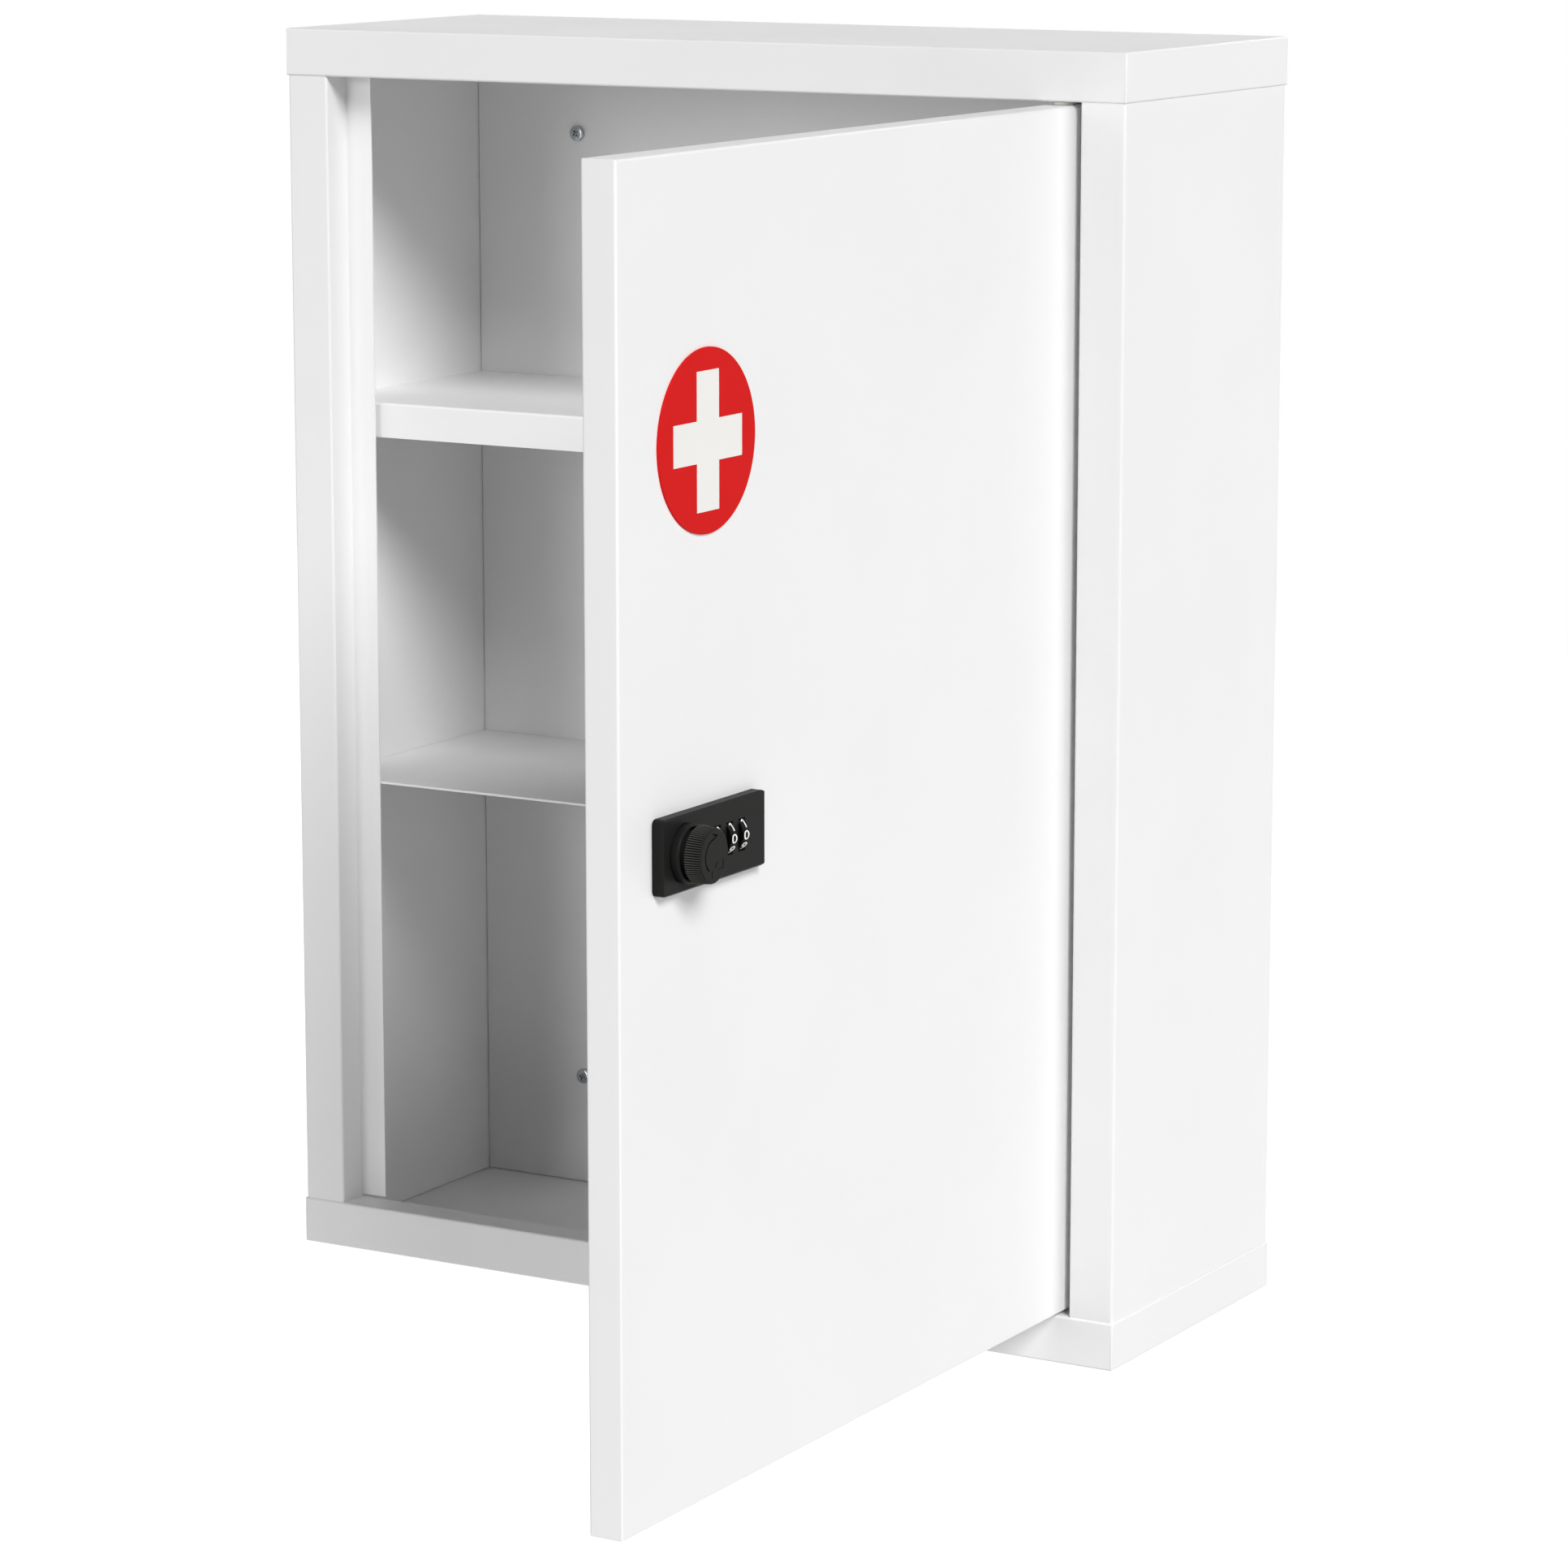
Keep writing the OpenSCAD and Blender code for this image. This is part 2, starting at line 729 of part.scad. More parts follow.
// Screws from behind the body
module lock_screws() {
    reach = plate_screw_head_r * recess_share;
    color(zinc) at_lock() for (p = screw_places())
        translate([p[0], p[1], -body_d]) difference() {
            union() {
                rod(plate_screw_head_r, -plate_screw_head_h, 0);
                rod(plate_screw_r, 0, body_d);
            }
            translate([0, 0, -plate_screw_head_h]) along_z(-past, plate_slot_deep)
                cross_bars(reach, reach, plate_slot_deep);
        }
}

module lock_nut() {
    color(zinc) at_lock() difference() {
        translate([0, 0, -liner_back - nut_t])
            cylinder(r = nut_flats / sqrt(3), h = nut_t, $fn = 6);
        rod(barrel_r, -liner_back - nut_t - past, -liner_back + past);
    }
}

// Raised ring in the plate, round the foot of the knob
module lock_collar() {
    top = lock_t + collar_h;
    color(black) at_lock() rotate_extrude() polygon(concat(
        [[neck_r + collar_slip, skin_z], [collar_r, skin_z]],
        arc([collar_r - collar_soft, top - collar_soft], collar_soft, 0, 90, bend_steps),
        [[neck_r + collar_slip, top]]));
}

module wheel_axle() {
    color(zinc) at_wheel(2) rod(axle_r, -axle_half, axle_half);
}

// Leaf spring behind the wheels, slit into one leaf for each wheel
module detent_spring() {
    back = axle_z - wheel_r - spring_gap;
    half = wheel_pitch + wheel_w / 2;
    color("#9a9a96") at_lock() difference() {
        translate([wheel_x(2), 0, 0])
            block([-half, -spring_h / 2, back - spring_t], [half, spring_h / 2, back]);
        for (i = [1 : WHEELS - 1])
            translate([wheel_x(i) + wheel_pitch / 2, 0, 0])
                block([-slit_w / 2, slit_root - spring_h / 2, back - spring_t - past],
                      [slit_w / 2, spring_h / 2 + past, back + past]);
    }
}

// One wheel: ten fields with a groove between each two
module number_wheel(i) {
    color(black) at_wheel(i) difference() {
        rod(wheel_r, -wheel_w / 2, wheel_w / 2);
        rod(axle_r + run, -wheel_w, wheel_w);
        for (k = [0 : digits - 1])
            rotate([0, 0, (k + 0.5) * 360 / digits]) translate([wheel_r + groove_lift, 0, 0])
                rod(groove_r, -wheel_w, wheel_w);
    }
}

module number_wheel_1() {
    number_wheel(1);
}

module number_wheel_2() {
    number_wheel(2);
}

module number_wheel_3() {
    number_wheel(3);
}

// Knob, spindle and cam

// Ridged outline of the knob's grip
function ridges(r, deep, count) =
    [for (i = [0 : 4 * count - 1])
        let (a = i * 90 / count, rr = (i % 4 < 2) ? r : r - deep) rr * [cos(a), sin(a)]];

// Lines cut in the knob's front: a curved one and a short straight one
module knob_marks(z0, z1) {
    intersection() {
        difference() {
            rod(arc_mark_r + mark_w / 2, z0, z1);
            rod(arc_mark_r - mark_w / 2, z0 - past, z1 + past);
        }
        along_z(z0, z1) polygon(concat(
            [[0, 0]], arc([0, 0], knob_r, arc_mark_from, arc_mark_to, arc_steps)));
    }
    block([-pointer_set - mark_w / 2, -pointer_to, z0],
          [mark_w / 2 - pointer_set, -pointer_from, z1]);
}

module knob() {
    grip_z0 = lock_t + collar_h + knob_gap;
    front = lock_t + knob_h;
    grip_z1 = front - knob_chamfer;
    color(black) at_lock() difference() {
        union() {
            rod(neck_r, skin_z + neck_gap, grip_z0);
            along_z(grip_z0, grip_z1) polygon(ridges(knob_r, ridge_deep, knob_ridges));
            translate([0, 0, grip_z1])
                cylinder(r1 = knob_r - cone_step, r2 = knob_r - knob_chamfer, h = knob_chamfer);
        }
        rod(spindle_r, 0, front - front_skin);
        knob_marks(front - mark_deep, front + past);
    }
}

// Spindle: round in the barrel, square in the cam, with a threaded end
module knob_spindle() {
    hub_back = hub_front + cam_t;
    color(zinc) at_lock() difference() {
        union() {
            rod(spindle_r, -hub_front, lock_t + knob_h - front_skin);
            along_z(-hub_back, -hub_front) square(2 * square_half, center = true);
        }
        rod(cam_screw_r, -hub_back - past, -hub_front + cam_screw_len + thread_room);
    }
}

// Cranked cam, hanging straight down
module cam() {
    step = hub_front - arm_front;
    mid = crank_at + crank_len;
    color(zinc) at_lock() difference() {
        union() {
            rod(hub_r, -hub_front - cam_t, -hub_front);
            intersection() {
                along_x(-cam_w / 2, cam_w / 2) polygon([
                    [0, -hub_front], [-crank_at, -hub_front], [-mid, -hub_front + step],
                    [-cam_reach, -hub_front + step], [-cam_reach, -hub_front + step - cam_t],
                    [-mid, -hub_front + step - cam_t], [-crank_at, -hub_front - cam_t],
                    [0, -hub_front - cam_t]]);
                translate([0, -cam_reach / 2, 0]) along_z(-hub_front - cam_t - past, 0)
                    polygon(soft_rect([-cam_w / 2, -cam_reach / 2],
                                      [cam_w / 2, cam_reach], arm_corner));
            }
        }
        along_z(-hub_front - cam_t - past, -hub_front + past)
            square(2 * square_half, center = true);
    }
}

module cam_washer() {
    back = hub_front + cam_t;
    color(zinc) at_lock() difference() {
        rod(washer_r, -back - washer_t, -back);
        rod(cam_screw_r, -back - washer_t - past, -back + past);
    }
}

module cam_screw() {
    back = hub_front + cam_t + washer_t;
    color(zinc) at_lock() difference() {
        union() {
            rod(cam_screw_r, -back, -hub_front + cam_screw_len);
            rod(cam_head_r, -back - cam_head_h, -back);
        }
        translate([0, 0, -back - cam_head_h]) mirror([0, 0, 1]) cross_recess(cam_head_r);
    }
}

top_cap();
base_tray();
left_side();
right_side();
back_panel();
upper_shelf();
lower_shelf();
shelf_rail_left();
shelf_rail_right();
wall_screws();
hinge_pin_top();
hinge_pin_bottom();
hinge_bush_top();
hinge_bush_bottom();
door_shell();
door_liner();
badge_disc();
badge_cross();
lock_plate();
lock_body();
lock_screws();
lock_nut();
lock_collar();
wheel_axle();
detent_spring();
number_wheel_1();
number_wheel_2();
number_wheel_3();
knob();
knob_spindle();
cam();
cam_washer();
cam_screw();
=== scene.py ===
"""Studio scene of a lockable wall cabinet: camera, light and floor, and the looks of its pieces.

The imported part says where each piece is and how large. This file rounds the edges of every piece
and gives it its finish, and models what the plain solids leave out, such as the grip of the knob,
the numbers on the wheels and the threads of the screws.

Sizes are in millimetres. A mesh is turned to metres when it is placed.
"""

import logging
import math
from dataclasses import dataclass, field
from enum import Enum

import bmesh
import bpy
from mathutils import Matrix, Vector


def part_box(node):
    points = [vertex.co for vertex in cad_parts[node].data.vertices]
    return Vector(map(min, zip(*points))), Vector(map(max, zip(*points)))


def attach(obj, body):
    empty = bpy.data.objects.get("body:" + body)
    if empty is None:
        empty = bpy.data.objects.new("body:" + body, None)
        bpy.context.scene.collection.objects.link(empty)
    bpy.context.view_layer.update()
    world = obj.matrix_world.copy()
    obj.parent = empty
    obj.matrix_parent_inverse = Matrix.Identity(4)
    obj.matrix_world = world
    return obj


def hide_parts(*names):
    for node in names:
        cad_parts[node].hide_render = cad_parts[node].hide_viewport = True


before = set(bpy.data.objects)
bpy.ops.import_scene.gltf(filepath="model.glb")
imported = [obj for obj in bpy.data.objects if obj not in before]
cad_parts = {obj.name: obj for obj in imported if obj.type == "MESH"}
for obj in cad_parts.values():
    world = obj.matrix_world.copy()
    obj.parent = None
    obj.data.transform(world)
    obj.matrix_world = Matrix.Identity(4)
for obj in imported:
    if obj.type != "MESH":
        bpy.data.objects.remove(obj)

MM = 0.001
FULL_TURN = 2 * math.pi
MERGE = 0.001  # corners closer than this are one corner, in mm
FLAT = math.radians(0.6)  # faces that meet at less than this are one flat face
CREASE = math.radians(46)  # edges that bend more than this are shaded sharp
TEXT_MERGE = 1e-5  # the same as MERGE for text, in heights of a letter
CUT_SNAP = 1e-4  # corners closer to a cut than this lie on it, in mm
NOISE_RANGE = (0.3, 0.7)  # where most values of a noise texture lie
COLOUR_A, COLOUR_B, COLOUR_OUT = 6, 7, 2  # places of the colour sockets on a Mix node
WHITE = "#FFFFFF"
GLINT_ATTRIBUTE = "tip_glint"  # how strongly the highlight painted on the ridge tips shows at each corner of a piece, from 0 to 1
# Turns a frame whose z points out of the door's face, and whose y is up, to the row's frame
OUTWARDS = Matrix(((0, 0, 1, 0), (1, 0, 0, 0), (0, 1, 0, 0), (0, 0, 0, 1)))
# Turns a frame whose z runs into the wall to the row's frame
INTO_WALL = Matrix.Rotation(math.radians(-90), 4, "X")
Line = tuple[tuple[float, float], ...]  # points of a line
Outline = list[tuple[float, float]]  # radius and height of each point of a turned shape
log = logging.getLogger("cabinet")


class Body(Enum):
    """The moving bodies of the cabinet."""

    CABINET = "cabinet"
    DOOR = "door"
    KNOB = "lock_knob"


class Edge(Enum):
    """Which edges of a piece are rounded, by the least angle between their faces, in degrees."""

    SQUARE = 60.0
    FOLDED = 32.0


# Colours and shader nodes


def linear(code: str) -> tuple[float, float, float, float]:
    """Turns an sRGB hex code to linear colour.

    Args:
        code: Six hex digits after a hash sign.

    Returns:
        Red, green, blue and an alpha of one.
    """
    shares = [int(code[i : i + 2], 16) / 255 for i in (1, 3, 5)]
    red, green, blue = (s / 12.92 if s <= 0.04045 else ((s + 0.055) / 1.055) ** 2.4 for s in shares)
    return red, green, blue, 1.0


def per_metre(size: float) -> float:
    """Scale of a texture whose features are size mm across."""
    return 1 / (size * MM)


def add_node(
    tree: bpy.types.NodeTree,
    kind: str,
    links: dict[str | int, bpy.types.NodeSocket] | None = None,
    values: dict[str | int, object] | None = None,
    **settings: object,
) -> bpy.types.Node:
    """Adds one node to a tree.

    Args:
        tree: The tree that gets the node.
        kind: The node's type.
        links: Sockets that feed its inputs, by input name or place.
        values: Plain values of its inputs, by input name or place.
        settings: Properties of the node itself.

    Returns:
        The new node.
    """
    node = tree.nodes.new(kind)
    for name, setting in settings.items():
        setattr(node, name, setting)
    for name, value in (values or {}).items():
        node.inputs[name].default_value = value
    for name, socket in (links or {}).items():
        tree.links.new(socket, node.inputs[name])
    return node


def spread(
    tree: bpy.types.NodeTree, source: bpy.types.NodeSocket, low: float, high: float
) -> bpy.types.NodeSocket:
    """Stretches the usual range of a noise value to the range from low to high.

    Args:
        tree: The tree that holds the source.
        source: The noise value.
        low: Result for a low noise value.
        high: Result for a high one.

    Returns:
        The stretched value.
    """
    least, most = NOISE_RANGE
    values = {"From Min": least, "From Max": most, "To Min": low, "To Max": high}
    return add_node(tree, "ShaderNodeMapRange", {"Value": source}, values).outputs["Result"]


# Finishes


@dataclass(frozen=True)
class Finish:
    """What all finishes share. A piece's name ends in the word for how its surface was made.

    Shine is how strongly a clear surface reflects, where 0.5 is plain plastic or glass. Fine grain
    scatters part of the reflection away, so matt black plastic has less.
    """

    name: str
    made: str
    slot: str | None
    colour: str
    roughness: float
    shine: float = field(default=0.5, kw_only=True)

    def material(self) -> bpy.types.Material:
        """Makes the finish's material, or finds it if an earlier piece has it."""
        found = bpy.data.materials.get(self.name)
        if found:
            return found
        made = bpy.data.materials.new(self.name)
        made.use_nodes = True
        tree = made.node_tree
        shader = tree.nodes["Principled BSDF"]
        shader.inputs["Base Color"].default_value = linear(self.colour)
        shader.inputs["Roughness"].default_value = self.roughness
        shader.inputs["Specular IOR Level"].default_value = self.shine
        place = add_node(tree, "ShaderNodeTexCoord").outputs["Object"]
        self.dress(tree, shader, place)
        return made

    def dress(
        self, tree: bpy.types.NodeTree, shader: bpy.types.Node, place: bpy.types.NodeSocket
    ) -> None:
        """Adds the finish's own detail to its shader."""

    def noise(
        self,
        tree: bpy.types.NodeTree,
        place: bpy.types.NodeSocket,
        size: float,
        detail: float = 2.0,
    ) -> bpy.types.NodeSocket:
        """Noise with features of a real size.

        Args:
            tree: The finish's tree.
            place: Coordinates that the noise follows.
            size: Width of a feature in mm.
            detail: How many finer layers the noise has.

        Returns:
            The noise value.
        """
        values = {"Scale": per_metre(size), "Detail": detail}
        return add_node(tree, "ShaderNodeTexNoise", {"Vector": place}, values).outputs["Fac"]

    def relief(
        self,
        tree: bpy.types.NodeTree,
        shader: bpy.types.Node,
        height: bpy.types.NodeSocket,
        deep: float,
    ) -> None:
        """Bends the shader's normal by a height that is deep mm from its lowest to its highest."""
        bump = add_node(
            tree, "ShaderNodeBump", {"Height": height}, {"Strength": 1.0, "Distance": deep * MM}
        )
        tree.links.new(bump.outputs["Normal"], shader.inputs["Normal"])

    def blend(
        self,
        tree: bpy.types.NodeTree,
        shader: bpy.types.Node,
        share: bpy.types.NodeSocket,
        other: str,
    ) -> None:
        """Blends another colour into the one that the shader has so far.

        Args:
            tree: The finish's tree.
            shader: Its shader.
            share: How much of the other colour shows, from 0 to 1.
            other: The other colour's hex code.
        """
        base = shader.inputs["Base Color"]
        mix = add_node(
            tree,
            "ShaderNodeMix",
            {"Factor": share},
            {COLOUR_A: base.default_value, COLOUR_B: linear(other)},
            data_type="RGBA",
        )
        if base.is_linked:
            tree.links.new(base.links[0].from_socket, mix.inputs[COLOUR_A])
        tree.links.new(mix.outputs[COLOUR_OUT], base)

    def tint(
        self,
        tree: bpy.types.NodeTree,
        shader: bpy.types.Node,
        amount: bpy.types.NodeSocket,
        other: str,
    ) -> None:
        """Drifts the colour towards another one as a noise value rises."""
        self.blend(tree, shader, spread(tree, amount, 0.0, 1.0), other)


@dataclass(frozen=True)
class PowderCoat(Finish):
    """Polyester powder coat on sheet steel, sprayed and baked.

    The eye sees an even satin white with a shallow orange peel in its highlights.
    """

    peel_size: float = 2.2
    peel_deep: float = 0.008
    grain_size: float = 0.5
    grain_share: float = 0.25
    cloud_size: float = 70.0
    cloud_colour: str = "#F0F0F0"
    gloss_drift: float = 0.03

    def dress(
        self, tree: bpy.types.NodeTree, shader: bpy.types.Node, place: bpy.types.NodeSocket
    ) -> None:
        """Adds orange peel, an uneven gloss and a faint drift of the white."""
        peel = self.noise(tree, place, self.peel_size)
        grain = self.noise(tree, place, self.grain_size)
        height = add_node(
            tree,
            "ShaderNodeMath",
            {0: grain, 2: peel},
            {1: self.grain_share},
            operation="MULTIPLY_ADD",
        )
        self.relief(tree, shader, height.outputs[0], self.peel_deep)
        cloud = self.noise(tree, place, self.cloud_size)
        self.tint(tree, shader, cloud, self.cloud_colour)
        low, high = self.roughness - self.gloss_drift, self.roughness + self.gloss_drift
        gloss = spread(tree, cloud, low, high)
        tree.links.new(gloss, shader.inputs["Roughness"])


@dataclass(frozen=True)
class Moulded(Finish):
    """ABS or acetal, moulded in a spark-eroded tool, or nylon with fine turning marks.

    The eye sees a fine matt grain that breaks up every highlight. The real grain is about 0.1 mm
    wide, and is drawn coarser so that it shows.
    """

    grain_size: float = 0.35
    grain_deep: float = 0.012
    grain_layers: float = 3.0
    flow_size: float = 9.0
    flow_colour: str = "#181818"
    gloss_drift: float = 0.06

    def dress(
        self, tree: bpy.types.NodeTree, shader: bpy.types.Node, place: bpy.types.NodeSocket
    ) -> None:
        """Adds the tool's grain and a faint flow of the pigment."""
        grain = self.noise(tree, place, self.grain_size, self.grain_layers)
        self.relief(tree, shader, grain, self.grain_deep)
        self.tint(tree, shader, self.noise(tree, place, self.flow_size), self.flow_colour)
        low, high = self.roughness - self.gloss_drift, self.roughness + self.gloss_drift
        gloss = spread(tree, grain, low, high)
        tree.links.new(gloss, shader.inputs["Roughness"])


@dataclass(frozen=True)
class Handled(Moulded):
    """Moulded plastic with a highlight painted onto the tips of its grip.

    The eye sees the tips of the grip's ridges paler than the plastic between them. That paleness is
    a painted highlight standing in for the light the ridges catch.
    """

    # Colour of the highlight painted on the tips of the ridges
    worn_colour: str = "#54544E"

    def dress(
        self, tree: bpy.types.NodeTree, shader: bpy.types.Node, place: bpy.types.NodeSocket
    ) -> None:
        """Adds the highlight painted on the ridge tips to the moulded grain."""
        super().dress(tree, shader, place)
        tip_glint = add_node(tree, "ShaderNodeAttribute", attribute_name=GLINT_ATTRIBUTE).outputs["Fac"]
        self.blend(tree, shader, tip_glint, self.worn_colour)


@dataclass(frozen=True)
class Plated(Finish):
    """Bright zinc or nickel on turned, stamped or cast metal.

    The eye sees a cold silver metal with soft smears and a trace of the tool, which is drawn
    coarser than it is so that it shows.
    """

    smear_size: float = 3.0
    smear_layers: float = 3.0
    smear_colour: str = "#B4B8BC"
    grain_size: float = 0.3
    grain_deep: float = 0.004
    gloss_low: float = 0.8
    gloss_high: float = 1.3
    stretch: tuple[float, float, float] = (1.0, 1.0, 1.0)

    def dress(
        self, tree: bpy.types.NodeTree, shader: bpy.types.Node, place: bpy.types.NodeSocket
    ) -> None:
        """Adds metal, smears in colour and gloss, and a fine grain."""
        shader.inputs["Metallic"].default_value = 1.0
        scale = {"Scale": self.stretch}
        drawn = add_node(tree, "ShaderNodeMapping", {"Vector": place}, scale).outputs["Vector"]
        smear = self.noise(tree, drawn, self.smear_size, self.smear_layers)
        self.tint(tree, shader, smear, self.smear_colour)
        self.relief(tree, shader, self.noise(tree, drawn, self.grain_size), self.grain_deep)
        low, high = self.roughness * self.gloss_low, self.roughness * self.gloss_high
        gloss = spread(tree, smear, low, high)
        tree.links.new(gloss, shader.inputs["Roughness"])


@dataclass(frozen=True)
class Printed(Finish):
    """Vinyl film or paint filled into a mark.

    The eye sees a flat, even colour with a soft sheen and a trace of the squeegee.
    """

    fleck_size: float = 1.4
    fleck_deep: float = 0.002
    drift_size: float = 25.0
    drift_colour: str = WHITE

    def dress(
        self, tree: bpy.types.NodeTree, shader: bpy.types.Node, place: bpy.types.NodeSocket
    ) -> None:
        """Adds a faint relief and drift of the colour."""
        self.relief(tree, shader, self.noise(tree, place, self.fleck_size), self.fleck_deep)
        self.tint(tree, shader, self.noise(tree, place, self.drift_size), self.drift_colour)


# Polyester powder coat on sheet steel: an even satin white
WHITE_COAT = PowderCoat(
    "satin_powder_coat", "coated", "white_powder_coat", "#F2F2F2", 0.40, shine=0.2
)
# Black ABS with an eroded grain: a matt, slightly warm black
BLACK_ABS = Moulded(
    "grained_abs", "moulded", "black_abs", "#1F1F1E", 0.40, flow_colour="#202020", shine=0.05
)
# The same ABS on the grip, with a highlight painted on the tips of the ridges
GLINT_ABS = Handled(
    "glint_painted_abs", "moulded", "black_abs", "#1F1F1E", 0.40, flow_colour="#202020", shine=0.05
)
# Black acetal from a smooth tool: deeper black than the ABS, so that the numbers stand out
BLACK_ACETAL = Moulded(
    "smooth_acetal", "moulded", "black_acetal", "#0B0B0B", 0.36,
    grain_deep=0.004, flow_colour="#0D0D0D", shine=0.05,
)
# Natural nylon, turned: a milky, waxy off-white
NYLON = Moulded(
    "turned_nylon", "turned", "natural_nylon", "#E8E6DC", 0.42,
    grain_deep=0.004, flow_colour="#E2DFD2",
)
# Bright zinc plate on steel: a cold, clear mirror with faint smears
ZINC_PLATE = Plated("zinc_plate", "plated", "bright_zinc", "#CDD1D4", 0.20)
# Zinc as cast: a dull, mottled grey
ZINC_CASTING = Plated(
    "die_cast_zinc", "cast", "zinc_casting", "#8E8F90", 0.46,
    smear_colour="#7C7D7E", grain_size=0.7, grain_deep=0.03,
)
# Cold rolled spring steel: a brownish grey, streaked along the strip
SPRING_STEEL = Plated(
    "rolled_spring_steel", "rolled", "spring_steel", "#8B8B86", 0.30,
    smear_colour="#7A7A74", stretch=(1.0, 0.06, 1.0),
)
# Cast vinyl film: a flat signal red and a flat off-white, both with little sheen
RED_VINYL = Printed(
    "red_film", "printed", "red_vinyl", "#D71E1E", 0.42, drift_colour="#D51C1C", shine=0.03
)
WHITE_VINYL = Printed(
    "white_film", "printed", "white_vinyl", "#F1F0EC", 0.45, drift_colour="#EFEEEA", shine=0.1
)
# Paint wiped into the wheels' numbers: chalky white
NUMBER_PAINT = Printed("number_paint", "filled", None, "#F8F8F5", 0.55, drift_colour="#F4F4F0")


# Mesh helpers


def in_scene(name: str, data: bpy.types.ID) -> bpy.types.Object:
    """Makes an object of some data and links it to the scene."""
    item = bpy.data.objects.new(name, data)
    bpy.context.scene.collection.objects.link(item)
    return item


def as_data(mesh: bmesh.types.BMesh, name: str) -> bpy.types.Mesh:
    """Writes a mesh to new mesh data, and frees it."""
    data = bpy.data.meshes.new(name)
    mesh.to_mesh(data)
    mesh.free()
    return data


def add_mesh(whole: bmesh.types.BMesh, part: bmesh.types.BMesh) -> None:
    """Adds one mesh to another, and frees it."""
    data = as_data(part, "part")
    whole.from_mesh(data)
    bpy.data.meshes.remove(data)


def cad_mesh(node: str) -> bmesh.types.BMesh:
    """A CAD node's mesh in mm, with its corners merged and its flat faces joined.

    Args:
        node: The CAD node's name.

    Returns:
        A new bmesh, which the caller frees.
    """
    mesh = bmesh.new()
    mesh.from_mesh(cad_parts[node].data)
    bmesh.ops.scale(mesh, vec=Vector((1, 1, 1)) / MM, verts=mesh.verts)
    bmesh.ops.remove_doubles(mesh, verts=mesh.verts, dist=MERGE)
    bmesh.ops.dissolve_limit(mesh, angle_limit=FLAT, verts=mesh.verts, edges=mesh.edges)
    return mesh


def node_box(node: str) -> tuple[Vector, Vector]:
    """A CAD node's lowest and highest corners in mm."""
    low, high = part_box(node)
    return low / MM, high / MM


def soften(mesh: bmesh.types.BMesh, width: float, steps: int = 2, edge: Edge = Edge.SQUARE) -> None:
    """Rounds a mesh's sharp edges.

    Args:
        mesh: The mesh, in mm.
        width: How far the rounding reaches from each edge, in mm.
        steps: Faces in each rounding.
        edge: Which edges count as sharp.
    """
    least = math.radians(edge.value)
    sharp = [e for e in mesh.edges if e.is_manifold and e.calc_face_angle() > least]
    bmesh.ops.bevel(
        mesh, geom=sharp, offset=width, offset_type="OFFSET", segments=steps, profile=0.5,
        affect="EDGES", clamp_overlap=True, material=-1,
    )


def turned(mesh: bmesh.types.BMesh, outline: Outline, steps: int) -> None:
    """Turns an outline once round the z axis, as on a lathe.

    Args:
        mesh: The mesh that gets the shape.
        outline: Radius and height of each point. A shape without a bore starts and ends at
            radius 0.
        steps: Faces round the axis.
    """
    points = [mesh.verts.new((radius, 0, height)) for radius, height in outline]
    lines = [mesh.edges.new(pair) for pair in zip(points, points[1:])]
    bmesh.ops.spin(
        mesh, geom=points + lines, axis=(0, 0, 1), cent=(0, 0, 0), angle=FULL_TURN, steps=steps,
        use_merge=True,
    )
    bmesh.ops.remove_doubles(mesh, verts=mesh.verts, dist=MERGE)
    bmesh.ops.recalc_face_normals(mesh, faces=mesh.faces)


def rounding(
    radius: float, height: float, size: float, start: float, steps: int = 5
) -> Outline:
    """A quarter round for a turned outline.

    Args:
        radius: Radius of the rounding's middle from the axis.
        height: Height of its middle.
        size: Radius of the rounding itself.
        start: Angle of its first point in degrees, where 0 points away from the axis.
        steps: Lines in the quarter round.

    Returns:
        Radius and height of each point, a quarter turn on from the start.
    """
    angles = [math.radians(start + 90 * i / steps) for i in range(steps + 1)]
    return [(radius + size * math.cos(a), height + size * math.sin(a)) for a in angles]


def add_block(mesh: bmesh.types.BMesh, low: Vector, high: Vector) -> list[bmesh.types.BMVert]:
    """Adds a block between two corners.

    Args:
        mesh: The mesh that gets the block.
        low: Its lowest corner.
        high: Its highest corner.

    Returns:
        The block's corners.
    """
    place = Matrix.Translation((low + high) / 2) @ Matrix.Diagonal((*(high - low), 1))
    return bmesh.ops.create_cube(mesh, size=1, matrix=place)["verts"]


def add_wall(
    mesh: bmesh.types.BMesh,
    line: Line,
    low: float,
    high: float,
    thick: float,
) -> None:
    """Makes a wall that stands along a line.

    Args:
        mesh: The empty mesh that gets the wall.
        line: The line's points, seen from above.
        low: Height of the wall's foot.
        high: Height of its top.
        thick: Its thickness.
    """
    foot = [mesh.verts.new((x, y, low)) for x, y in line]
    edges = [mesh.edges.new(pair) for pair in zip(foot, foot[1:])]
    raised = bmesh.ops.extrude_edge_only(mesh, edges=edges)["geom"]
    top = [item for item in raised if isinstance(item, bmesh.types.BMVert)]
    bmesh.ops.translate(mesh, vec=(0, 0, high - low), verts=top)
    bmesh.ops.solidify(mesh, geom=mesh.faces[:], thickness=thick)
    bmesh.ops.recalc_face_normals(mesh, faces=mesh.faces)


